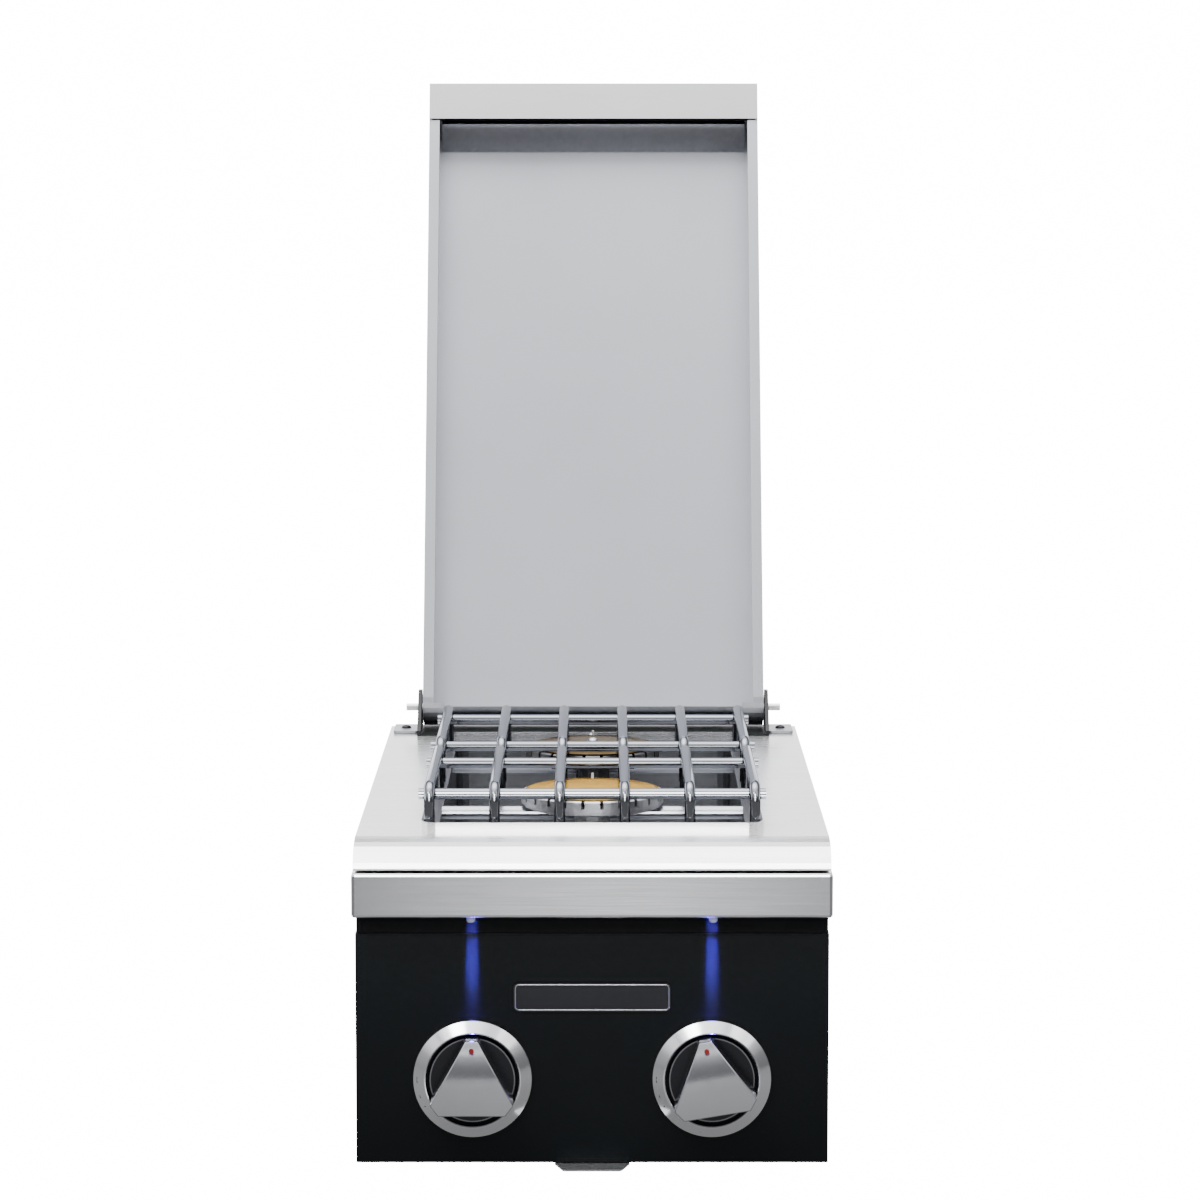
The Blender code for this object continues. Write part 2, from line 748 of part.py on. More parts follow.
def burner_base(name, y):
    """Cast floor with an offset throat for the tube and two saddles on the rod."""
    floor = HEAD_BOTTOM - GAP - BASE_FLOOR
    edge = HEAD_RADIUS - BASE_INSET
    body = turned(name, [(0, floor + BASE_FLOOR), (edge, floor + BASE_FLOOR),
                         (edge, floor + BASE_CHAMFER / 2), (edge - BASE_CHAMFER, floor), (0, floor)],
                  (0, y, up(0)), "Z", "aluminium", 24)
    throat_y = y - THROAT_OFFSET
    outer = THROAT_BORE / 2 + THROAT_WALL
    throat = cylinder(f"{name}_throat", (0, throat_y, up(floor - THROAT_LENGTH / 2 + WELD)), outer,
                      THROAT_LENGTH, "Z")
    bore = cylinder(f"{name}_bore", (0, throat_y, up(floor - THROAT_LENGTH / 2)), THROAT_BORE / 2,
                    2 * THROAT_LENGTH, "Z")
    join(body, throat)
    rod_top = SUPPORT_ROD_Z + SUPPORT_ROD / 2
    for side, sign in sides():
        saddle = block(f"{name}_saddle_{side}", span(sign * SADDLE_X, SADDLE_WIDTH),
                       span(y, 2 * SUPPORT_ROD), (up(rod_top - SUPPORT_ROD / 2), up(floor + WELD)))
        join(body, saddle)
    lug = block(f"{name}_lug", span(0, 2 * ELECTRODE),
                (y + HEAD_RADIUS - LUG_WELD, electrode_y(y) + ELECTRODE), (up(floor), up(floor + BASE_FLOOR)))
    lug_hole = cylinder(f"{name}_lug_hole", (0, electrode_y(y), up(floor)), ELECTRODE / 2 + GAP,
                        4 * BASE_FLOOR, "Z", sides=16)
    rod_room = cylinder(f"{name}_rod_room", (0, y, up(SUPPORT_ROD_Z)), SUPPORT_ROD / 2 + GAP,
                        2 * PAN_WIDTH, "X")
    join(body, lug)
    cut(body, bore, lug_hole, rod_room)


def electrode_y(y):
    return y + HEAD_RADIUS + ELECTRODE_REACH


def burner_head(name, y):
    """Ported ring: a wall with radial gas slots open at the top."""
    inner = HEAD_RADIUS - HEAD_WALL
    ring = turned(name, [(HEAD_RADIUS - HEAD_CHAMFER, HEAD_TOP), (HEAD_RADIUS, HEAD_TOP - HEAD_CHAMFER),
                         (HEAD_RADIUS, HEAD_BOTTOM), (inner, HEAD_BOTTOM), (inner, HEAD_TOP)],
                  (0, y, up(0)), "Z", "aluminium", 2 * PORT_COUNT, ring=True)
    bm = bmesh.new()
    low = HEAD_BOTTOM + PORT_SILL
    height = HEAD_TOP - low + 2 * HEAD_CHAMFER
    for index in range(PORT_COUNT):
        turn = Matrix.Rotation(math.tau * (index + 0.5) / PORT_COUNT, 4, "Z")
        place = Matrix.Translation((HEAD_RADIUS - HEAD_WALL / 2, 0, low + height / 2))
        size = Matrix.Diagonal((2 * HEAD_WALL, PORT_WIDTH, height, 1))
        bmesh.ops.create_cube(bm, size=1.0, matrix=Matrix.Translation((0, y, up(0))) @ turn @ place @ size)
    mesh = bpy.data.meshes.new(f"{name}_ports")
    bm.to_mesh(mesh)
    bm.free()
    cut(ring, add(f"{name}_ports", mesh, None))


def burner_cap(name, y):
    """Domed brass plate whose skirt drops inside the ported ring."""
    seat = HEAD_TOP + GAP
    skirt = HEAD_RADIUS - HEAD_WALL - 2 * GAP
    turned(name, [(0, seat + CAP_RISE), (0.7 * CAP_RADIUS, seat + CAP_RISE - CAP_EDGE),
                  (CAP_RADIUS - 4 * CAP_EDGE, seat + 2 * CAP_EDGE), (CAP_RADIUS, seat + CAP_EDGE),
                  (CAP_RADIUS, seat), (skirt, seat), (skirt, seat - CAP_SKIRT), (0, seat - CAP_SKIRT)],
           (0, y, up(0)), "Z", "brass", 28)


def support_rod(name, y):
    cylinder(name, (0, y, up(SUPPORT_ROD_Z)), SUPPORT_ROD / 2, PAN_WIDTH - 2 * GAP, "X", "bright_steel", 20)


def igniter(name, y):
    """Ceramic electrode standing in the base's lug, its wire bent over the ring."""
    seat = HEAD_BOTTOM
    half = ELECTRODE / 2
    wire = ELECTRODE_WIRE / 2
    turned(name, [(0, ELECTRODE_TIP), (wire, ELECTRODE_TIP), (wire, ELECTRODE_NECK),
                  (half, ELECTRODE_COLLAR + WELD), (1.5 * half, ELECTRODE_COLLAR), (1.5 * half, seat),
                  (half, seat), (half, -ELECTRODE_TAIL), (0, -ELECTRODE_TAIL)],
           (0, electrode_y(y), up(0)), "Z", "ceramic", 12)


def burners():
    for label, distance in zip(("front", "rear"), burner_centres()):
        y = back(distance)
        burner_base(f"burner_base_{label}", y)
        burner_head(f"burner_head_{label}", y)
        burner_cap(f"burner_cap_{label}", y)
        support_rod(f"support_rod_{label}", y)
        igniter(f"igniter_{label}", y)


# Knobs and valves

def knob_corners():
    """Triangle with a rounded top and two clipped lower corners, about the stem."""
    shoulder = (0.925 * KNOB_RADIUS, -0.40 * KNOB_RADIUS)
    foot = (0.74 * KNOB_RADIUS, -0.65 * KNOB_RADIUS)
    tip = (0.19 * KNOB_RADIUS, 0.98 * KNOB_RADIUS)
    return [(shoulder[0], shoulder[1], KNOB_CORNER), (foot[0], foot[1], KNOB_CORNER),
            (-foot[0], foot[1], KNOB_CORNER), (-shoulder[0], shoulder[1], KNOB_CORNER),
            (-tip[0], tip[1], KNOB_TIP), (tip[0], tip[1], KNOB_TIP)]


def knob(side, sign, turn):
    """Round base with the triangular grip, bored at the back for the stem."""
    x = sign * KNOB_X
    z = up(KNOB_Z)
    rear = back(-PANEL_FACE - GAP - KNOB_PUSH - GAP)
    shoulder = rear - KNOB_BASE_DEPTH
    front = rear - KNOB_DEPTH
    grip = prism(f"knob_{side}_grip", [(x + u, z + v, r) for u, v, r in knob_corners()], "XZ",
                 front, shoulder + WELD)
    disc = cylinder(f"knob_{side}", (x, (rear + shoulder) / 2, z), KNOB_DISC, KNOB_BASE_DEPTH, "Y",
                    "satin", 36)
    bore = cylinder(f"knob_{side}_bore", (x, rear, z), STEM / 2 + GAP, 2 * STEM_INSERT, "Y", sides=20)
    dot = cylinder(f"pointer_dot_{side}", (x, front - GAP - DOT_THICKNESS / 2, z + DOT_RISE), DOT_RADIUS,
                   DOT_THICKNESS, "Y", "red", 16)
    for obj in (grip, disc, bore, dot):
        move_origin(obj, (x, rear, z))
        obj.rotation_euler.y = turn
    join(disc, grip)
    cut(disc, bore)
    return rear


def bezel(side, sign):
    """Chrome ring on the panel, its face rising from the rim to the inner edge."""
    profile = [(BEZEL_INNER, BEZEL_DEPTH), (BEZEL_INNER + BEZEL_LIP, BEZEL_DEPTH),
               (BEZEL_OUTER - BEZEL_CHAMFER, BEZEL_EDGE + BEZEL_CHAMFER), (BEZEL_OUTER, BEZEL_EDGE),
               (BEZEL_OUTER, 0), (BEZEL_INNER, 0)]
    ring = turned(f"bezel_{side}", profile, (0, 0, 0), "Z", "chrome", 40, ring=True)
    place = Vector((sign * KNOB_X, back(-PANEL_FACE - GAP), up(KNOB_Z)))
    ring.matrix_world = Matrix.Translation(place) @ Matrix.Rotation(math.radians(90), 4, "X")


def valve(side, sign, turn, knob_rear):
    """Stem, sliding collar, body with its spigot, and the orifice behind it."""
    x = sign * KNOB_X
    z = up(KNOB_Z)
    stem_front = knob_rear - STEM_INSERT + GAP
    stem_rear = back(VALVE_FRONT + STEM_INSERT)
    stem = cylinder(f"valve_stem_{side}", (x, (stem_front + stem_rear) / 2, z), STEM / 2,
                    stem_rear - stem_front, "Y", "brass", 20)
    move_origin(stem, (x, knob_rear, z))
    stem.rotation_euler.y = turn
    bore = STEM / 2 + GAP
    outer = bore + STEM_COLLAR_WALL
    turned(f"stem_collar_{side}", [(outer, STEM_COLLAR), (outer, 0), (bore, 0), (bore, STEM_COLLAR)],
           (x, back(STEM_COLLAR), z), "Y", "zinc", 20, ring=True)
    body = block(f"valve_body_{side}", span(x, VALVE_WIDTH),
                 (back(VALVE_FRONT), back(VALVE_FRONT + VALVE_LENGTH)), span(z, VALVE_HEIGHT), "brass")
    soften(body, 0.002, 1)
    spigot_z = z - VALVE_HEIGHT / 2 - SPIGOT_LENGTH / 2
    spigot = cylinder(f"valve_spigot_{side}", (x, back(MANIFOLD_Y), spigot_z + WELD), SPIGOT / 2,
                      SPIGOT_LENGTH + 2 * WELD, "Z")
    bore = cylinder(f"valve_bore_{side}", (x, back(VALVE_FRONT), z), STEM / 2 + STEM_PLAY,
                    2 * (STEM_INSERT + KNOB_PUSH + STEM_END_PLAY), "Y", sides=20)
    join(body, spigot)
    cut(body, bore)
    tail = VALVE_FRONT + VALVE_LENGTH + GAP
    half = ORIFICE / 2
    flange = 1.4 * half
    turned(f"orifice_{side}", [(0, ORIFICE_LENGTH), (half - ORIFICE_CHAMFER / 2, ORIFICE_LENGTH),
                               (half, ORIFICE_LENGTH - ORIFICE_CHAMFER), (half, ORIFICE_FLANGE),
                               (flange, ORIFICE_FLANGE), (flange, 0), (0, 0)],
           (x, back(tail), z), "Y", "brass", 12)


def tube_route(side, sign):
    """Centre line of a burner tube from its valve to its burner's throat."""
    x = sign * KNOB_X
    label = 0 if side == "left" else 1
    throat_y = back(burner_centres()[label] - THROAT_OFFSET)
    floor = HEAD_BOTTOM - GAP - BASE_FLOOR
    end = up(floor - THROAT_LENGTH + WELD + TUBE_INSERT)
    knee = up(-PAN_DEPTH - TUBE_KNEE)
    mouth = Vector((x, back(TUBE_START), up(KNOB_Z)))
    start = mouth + Vector((0, SHUTTER_LENGTH, 0))
    pull = 0.5 * (throat_y - start.y) + TUBE_LEAVE
    bend = swept([(start, (0, 1, 0), pull), ((0, throat_y, knee), (0, 0, 1), TUBE_RISE)], 10)
    return [mouth, *bend, Vector((0, throat_y, end))]


def burner_tube(side, sign):
    """Bent tube bored through, so that gas and air pass from the orifice to the bowl."""
    route = tube_route(side, sign)
    tube = rod(f"burner_tube_{side}", route, TUBE / 2, "aluminium")
    first = route[0] - Vector((0, TUBE / 4, 0))
    last = route[-1] + Vector((0, 0, TUBE / 4))
    bore = rod(f"burner_tube_{side}_bore", [first, *route[1:-1], last], TUBE_BORE / 2)
    cut(tube, bore)


def air_shutter(side, sign):
    """Cap over the tube's mouth, with a round hole on the orifice."""
    cap = TUBE_START - GAP - SHUTTER_WALL
    inner = TUBE / 2 + 2 * GAP
    outer = inner + SHUTTER_WALL
    hole = ORIFICE / 2 + GAP
    profile = [(outer, SHUTTER_LENGTH), (outer, 0), (hole, 0), (hole, SHUTTER_WALL), (inner, SHUTTER_WALL),
               (inner, SHUTTER_LENGTH)]
    place = (sign * KNOB_X, back(cap), up(KNOB_Z))
    turned(f"air_shutter_{side}", profile, place, "Y", "zinc", 20, ring=True)


def controls():
    for side, sign in sides():
        turn = -RIGHT_KNOB_TURN if side == "right" else 0.0
        bezel(side, sign)
        rear = knob(side, sign, turn)
        valve(side, sign, turn, rear)
        burner_tube(side, sign)
        air_shutter(side, sign)


# Gas supply

def gas_supply():
    z = up(MANIFOLD_Z)
    right = SUPPLY_X - ELBOW / 2 - GAP
    middle = (MANIFOLD_LEFT + right) / 2
    cylinder("manifold_pipe", (middle, back(MANIFOLD_Y), z), MANIFOLD / 2, right - MANIFOLD_LEFT, "X",
             "zinc", 24)
    elbow = block("gas_elbow", span(SUPPLY_X, ELBOW), span(back(MANIFOLD_Y), ELBOW), span(z, ELBOW), "brass")
    soften(elbow, 0.004, 2)
    start = back(MANIFOLD_Y) + ELBOW / 2 + GAP
    end = back(BODY_REAR - SHEET) - GAP
    cylinder("supply_tube", (SUPPLY_X, (start + end) / 2, z), SUPPLY_TUBE / 2, end - start, "Y", "zinc", 20)
    shank = cylinder("inlet_fitting", (SUPPLY_X, end + GAP + FITTING_SHANK_LENGTH / 2, z), FITTING_SHANK / 2,
                     FITTING_SHANK_LENGTH, "Y", "brass", 20)
    wall = back(BODY_REAR) + GAP
    nut = cylinder("inlet_hex", (SUPPLY_X, wall + FITTING_HEX_LENGTH / 2, z), FITTING_HEX / 2,
                   FITTING_HEX_LENGTH, "Y", sides=6)
    nose_start = FITTING_HEX_LENGTH - 2 * WELD
    nose = cylinder("inlet_nose", (SUPPLY_X, wall + (nose_start + FITTING_NOSE_END) / 2, z), FITTING_NOSE / 2,
                    FITTING_NOSE_END - nose_start, "Y", sides=20)
    bore = cylinder("inlet_bore", (SUPPLY_X, wall + FITTING_NOSE_END, z), FITTING_BORE / 2,
                    2 * FITTING_HEX_LENGTH, "Y", sides=16)
    join(shank, nut, nose)
    cut(shank, bore)


# Lid

def lid_outline(inset, rim_drop):
    """Side outline of the closed lid about its pin, drawn in by inset."""
    front = -LID_REACH + inset
    rear = LID_TAIL - inset
    top = SKIN_Z - inset
    low = RIM_Z + rim_drop
    radius = LID_REAR_RADIUS - inset
    return [(front, low, 0), (rear, low, radius), (rear, top, radius), (front, top, LID_EDGE_RADIUS - inset)]


def lid_skin():
    """Folded hood with turned-in rims and a tail rounded to clear the deck."""
    half = LID_WIDTH / 2
    floor = STRIP_SHEET_TOP
    skin = prism("lid_skin", lid_outline(0, floor - RIM_Z), "YZ", -half, half, "lid_steel", 6)
    inside = prism("lid_inside", lid_outline(SHEET, floor - RIM_Z + SHEET), "YZ", SHEET - half, half - SHEET,
                   None, 6)
    rim = half - LID_RIM
    corner = half - LID_CORNER_RIM
    low = (2 * RIM_Z, 0)
    mouth = block("lid_mouth", (-rim, rim), (-LID_REACH + 2 * SHEET, 0), low)
    tail = block("lid_tail_mouth", (-corner, corner), (-SHEET, LID_TAIL - LID_TAIL_EDGE), low)
    cut(skin, inside, mouth, tail)
    for side, sign in sides():
        hole = cylinder(f"lid_pin_hole_{side}", (sign * half, 0, 0), HINGE_PIN / 2 + PIN_PLAY, 10 * SHEET,
                        "X", sides=20)
        cut(skin, hole)


def lid_strip():
    """Bright end strip across the lid's mouth, folded up over its front edge."""
    half = LID_WIDTH / 2
    front = -LID_REACH - SHEET - GAP
    strip = block("lid_pull", (-half, half), (front, -LID_REACH + STRIP_LENGTH), (RIM_Z, RIM_Z + SHEET),
                  "bright_steel")
    lip = block("lid_pull_lip", (-half, half), (front, front + SHEET), (RIM_Z, RIM_Z + LID_DEPTH / 3))
    join(strip, lip)


def lid_liner():
    """Inner tray: a flat sheet with side walls down to the rims, open towards the strip."""
    half = LID_WIDTH / 2 - LID_RIM + LINER_TUCK
    low = STRIP_SHEET_TOP + SHEET + GAP
    top = RIM_Z + LINER_DEPTH + LINER_SHEET
    small = 2 * LINER_SHEET
    wall = LINER_SHEET
    outline = [(-LINER_END, low, 0), (LINER_TAIL, low, LINER_TAIL_RADIUS), (LINER_TAIL, top, small),
               (-LINER_END, top, 0)]
    room = [(-LINER_END - wall, low - wall, 0), (LINER_TAIL - wall, low - wall, LINER_TAIL_RADIUS),
            (LINER_TAIL - wall, top - wall, small - wall), (-LINER_END - wall, top - wall, 0)]
    tray = prism("lid_liner", outline, "YZ", -half, half, "lid_steel", 4)
    inside = prism("liner_inside", room, "YZ", wall - half, half - wall, None, 4)
    cut(tray, inside)


def lid():
    """The lid's pieces, drawn closed about the pin and swung open by their parent."""
    pivot = bpy.data.objects.new("lid_pivot", None)
    PARTS.objects.link(pivot)
    before = set(bpy.data.objects)
    lid_skin()
    lid_strip()
    lid_liner()
    for obj in set(bpy.data.objects) - before:
        obj.parent = pivot
    pivot.location = (0, PIN_Y, PIN_Z)
    pivot.rotation_euler.x = -LID_OPEN


def hinges():
    """Black bracket with two ears, a steel foot and a pin at each end."""
    inner = LID_WIDTH / 2 + EAR_GAP
    outer = inner + EAR_THICKNESS
    low = up(GAP)
    rear = DECK_DEPTH - BRACKET_REAR_MARGIN
    inset = EAR_THICKNESS / 3
    bracket = block("hinge_bracket", (inset - outer, outer - inset),
                    (back(BRACKET_FRONT + inset), back(rear - inset)),
                    (low + inset / 3, low + BRACKET_THICKNESS), "black")
    for side, sign in sides():
        ear = prism(f"ear_{side}", [
            (back(BRACKET_FRONT), low, 0), (back(rear), low, 0), (back(rear), up(EAR_REAR_HEIGHT), 0.002),
            (PIN_Y + EAR_CROWN / 2, up(EAR_TOP), EAR_CROWN_RADIUS),
            (PIN_Y - EAR_CROWN / 2, up(EAR_TOP), EAR_CROWN_RADIUS),
            (back(BRACKET_FRONT), up(EAR_FRONT_HEIGHT), 0.001)],
            "YZ", *sorted((sign * inner, sign * outer)), steps=5)
        hole = cylinder(f"ear_hole_{side}", (sign * outer, PIN_Y, PIN_Z), HINGE_PIN / 2 + GAP,
                        4 * EAR_THICKNESS, "X", sides=20)
        join(bracket, ear)
        cut(bracket, hole)
        foot_x = sorted((sign * (outer + GAP), sign * (DECK_WIDTH / 2 - FOOT_MARGIN)))
        foot = prism(f"hinge_foot_{side}",
                     rectangle(foot_x, (back(rear - FOOT_LENGTH), back(rear)), 0.002),
                     "XY", low, low + FOOT_THICKNESS, "steel")
        hole = cylinder(f"foot_hole_{side}", (sum(foot_x) / 2, back(rear - FOOT_LENGTH / 2), low),
                        FOOT_HOLE / 2, 4 * FOOT_THICKNESS, "Z", sides=16)
        cut(foot, hole)
        pin_outer = outer + PIN_REACH
        pin_inner = LID_WIDTH / 2 - PIN_GRIP
        cylinder(f"hinge_pin_{side}", (sign * (pin_outer + pin_inner) / 2, PIN_Y, PIN_Z), HINGE_PIN / 2,
                 pin_outer - pin_inner, "X", "steel", 20)


# Drip tray

def drip_tray():
    """Shallow pan whose tongue runs forward under the panel as its pull."""
    front = back(BASE_SETBACK + TRAY_FRONT_SETBACK)
    rear = back(TRAY_REAR)
    half = TRAY_WIDTH / 2
    tray = block("drip_tray", (-half, half), (front, rear), (TRAY_BOTTOM, TRAY_TOP), "steel")
    inside = block("tray_inside", (TRAY_SHEET - half, half - TRAY_SHEET),
                   (front + TRAY_SHEET, rear - TRAY_SHEET), (TRAY_BOTTOM + TRAY_SHEET, TRAY_TOP + TRAY_SHEET))
    tip = back(-PANEL_FACE) - TONGUE_REACH
    root = back(-PANEL_FACE)
    wide = TONGUE_WIDTH / 2
    narrow = TONGUE_TIP / 2
    tongue = prism("tray_tongue", [
        (-narrow, tip, TONGUE_RADIUS), (narrow, tip, TONGUE_RADIUS), (wide, root, 0),
        (wide, front + TRAY_SHEET, 0), (-wide, front + TRAY_SHEET, 0), (-wide, root, 0)],
        "XY", TRAY_TOP - TONGUE_WELD, TRAY_TOP + TONGUE_THICKNESS - TONGUE_WELD)
    cut(tray, inside)
    join(tray, tongue)


def tray_guides():
    for side, sign in sides():
        x = sorted((sign * (TRAY_WIDTH / 2 + GAP), sign * (TRAY_WIDTH / 2 + GAP + GUIDE_WIDTH)))
        outer = block(f"tray_guide_{side}", x, (back(BASE_SETBACK), back(TRAY_REAR)),
                      (BASE_THICKNESS + GAP, PANEL_BOTTOM - GAP), "zinc")
        away = sorted((sign * (TRAY_WIDTH / 2 + GAP + SHEET), sign * TRAY_WIDTH))
        room = block(f"guide_room_{side}", away, (back(0), back(DECK_DEPTH)),
                     (BASE_THICKNESS + GAP + SHEET, PANEL_BOTTOM + SHEET))
        cut(outer, room)


def pan_screw():
    """Dome screw through the collar at the back of the opening."""
    wall = back(OPENING_FRONT + OPENING_LENGTH - SHEET) - GAP
    half = SCREW_HEAD / 2
    screw = turned("pan_screw", [(0, SCREW_DOME), (half / 2, 0.85 * SCREW_DOME), (half, SCREW_DOME / 4),
                                 (half, 0), (0, 0)], (0, 0, 0), "Z", "bright_steel", 20)
    turn = Matrix.Rotation(math.radians(90), 4, "X")
    screw.matrix_world = Matrix.Translation((SCREW_X, wall, up(SCREW_RISE))) @ turn


def build():
    base_plate()
    housing()
    top_deck()
    burner_pan()
    bullnose_trim()
    front_channel()
    lights()
    control_panel()
    front_plate()
    pan_screw()
    grate("front_grate", GRATE_FRONT, False)
    grate("rear_grate", GRATE_FRONT + GRATE_PITCH, True)
    burners()
    controls()
    gas_supply()
    lid()
    hinges()
    drip_tray()
    tray_guides()


build()
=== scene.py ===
"""Looks of the double side burner: materials, fine pieces, studio light and camera.

Metres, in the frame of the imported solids: +X to the user's right, +Y to the back,
+Z up, origin at the centre of the base plate's underside.
"""

import math

import bmesh
import bpy
from mathutils import Matrix, Vector


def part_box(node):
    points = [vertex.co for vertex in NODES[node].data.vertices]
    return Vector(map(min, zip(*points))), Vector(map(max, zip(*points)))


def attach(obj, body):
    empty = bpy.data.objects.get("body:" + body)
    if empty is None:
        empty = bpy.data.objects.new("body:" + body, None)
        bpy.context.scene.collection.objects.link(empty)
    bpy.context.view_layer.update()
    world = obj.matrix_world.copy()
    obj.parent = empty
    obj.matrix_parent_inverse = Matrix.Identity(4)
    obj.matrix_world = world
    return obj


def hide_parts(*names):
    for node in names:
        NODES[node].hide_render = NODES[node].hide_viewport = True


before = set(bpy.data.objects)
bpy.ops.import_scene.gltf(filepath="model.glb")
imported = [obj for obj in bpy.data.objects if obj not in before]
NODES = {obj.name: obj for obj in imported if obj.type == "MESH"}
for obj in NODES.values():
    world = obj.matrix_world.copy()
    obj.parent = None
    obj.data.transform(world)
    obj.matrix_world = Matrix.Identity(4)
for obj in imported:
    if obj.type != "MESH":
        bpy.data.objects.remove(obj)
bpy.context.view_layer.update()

# Places taken from the solids' own sizes
FRONT_BEND_Y = -0.2885
DECK_HEIGHT = 0.254
LID_LEAN = math.radians(21.756)
SIDES = (("left", -1), ("right", 1))
RIGHT_KNOB_TURN = math.radians(9.5)

# Surround: height of the direction, then its light, before and behind the part
FRONT_STOPS = ((0.0, 0.05), (0.05, 0.06), (0.26, 0.08), (0.44, 0.22), (0.54, 0.24), (0.59, 0.14),
               (0.69, 0.46), (0.80, 0.40), (0.92, 0.90), (1.0, 1.10))
REAR_STOPS = ((0.0, 1.0), (0.17, 1.0), (0.30, 0.16), (0.66, 0.16), (0.80, 1.00), (1.0, 1.10))
WORLD_STRENGTH = 4.0
WORLD_LEFT_SHARE = 1.3
WORLD_RIGHT_SHARE = 0.7
WHITE_STRENGTH = 16.0
FLOOR_LIGHT = 0.20
FLOOR_POOLS = (((0.02, -1.47, 0.0), 2.2, 0.03, 0.34), ((0.0, -0.82, 0.0), 0.50, 0.15, 0.45))

# Room lamps: place, aim, watts, width and depth, spread in degrees
ROOM_LAMPS = (("key", (-0.60, -1.235, 1.51), (0, -0.30, 0.08), 0.32, (0.60, 0.30), 40),
              ("fill", (1.3, -1.2, 1.5), (0, 0, 0.3), 3.0, (0.7, 1.0), 180),
              ("overhead", (0.0, 0.1, 2.1), (0, 0.1, 0.2), 18, (1.5, 1.2), 180))

# Narrow lamps before the rolled front: height in degrees, extra drop of the aim, watts
STRIP_REACH = 0.36
STRIP_WIDTH = 0.55
STRIP_DEPTH = 0.095
STRIP_SPREAD = math.radians(30)
FRONT_STRIPS = ((11, 5, 0.09), (27, 0, 0.13), (42, 0, 0.15))

# Camera, fitted to the photograph
CAMERA_X = 0.0057
CAMERA_DISTANCE = 3.0
CAMERA_RISE = 0.5275
CAMERA_PITCH = math.radians(6.757)
CAMERA_LENS = 126.11

# Knobs and bezels
KNOB_X = 0.087
KNOB_DROP = 0.1779
PANEL_FRONT = 0.002
BEZEL_OUTER = 0.0435
BEZEL_INNER = 0.034
BEZEL_EDGE = 0.004
BEZEL_DEPTH = 0.010
BEZEL_STEPS = 128
KNOB_TOP = 0.0322
KNOB_SHOULDER = -0.0132
KNOB_FOOT = -0.0214
KNOB_HALF_SHOULDER = 0.0304
KNOB_HALF_FOOT = 0.0243
KNOB_HALF_TOP = 0.0046
KNOB_FACE_DROP = 0.0080
TICK_RADIUS = 0.0392
TICK_ANGLES = (180, 198, 211, 243, 257, 290)

# Lid, along it from the hinge and out from its rims
PIN_Y = 0.2325
PIN_Z = 0.2732
# Painted shade: a sheet across the lid's end recess standing for the shade deep in it
RECESS_SHADE_START = 0.5072
RECESS_SHADE_END = 0.5345
# Painted shadow: a black strip across the gap at the lid's end
SHADOW_STRIP_START = 0.5350
SHADOW_STRIP_END = 0.5470
PULL_EDGE = 0.5241
PULL_DEPTH = -0.0166
SHADE_SHEET_HALF = 0.1335
SHADE_SHEET_NEAR = 0.0205
SHADE_SHEET_FAR = 0.0240

# Plain plate
PLATE_RADIUS = 0.004

# Blue beams down the panel
BEAM_TOP = -0.0620
BEAM_END = -0.0890
BEAM_POWER = 0.060
BEAM_WIDTH = 0.0080
BEAM_DEPTH = 0.0085
BEAM_SPREAD = math.radians(11)
BEAM_COLOUR = (0.12, 0.05, 1.0)
GLOW_HEIGHT = -0.1410
GLOW_REACH = 0.022
GLOW_POWER = 0.012

# Burners
BURNER_FRONT = 0.113
BURNER_PITCH = 0.218
CAP_TOP = 0.0186

# Grates
BAR = 0.008
BAR_COUNT = 6
BAR_PITCH = 0.0477
GRATE_LENGTH = 0.196
GRATE_FRONT = 0.033
GRATE_PITCH = 0.218
GRATE_TOP = 0.0335
GRATE_FOOT = -0.0012
GRATE_BEND = 0.011
ROD_FRONT = 0.020
ROD_REAR = 0.165
ROD_WELD = 0.0008
ROD_OVERHANG = 0.0045


def back(distance):
    """World Y this far behind the deck's front bend."""
    return FRONT_BEND_Y + distance


def up(height):
    """World Z this far above the deck's top face."""
    return DECK_HEIGHT + height


# Materials

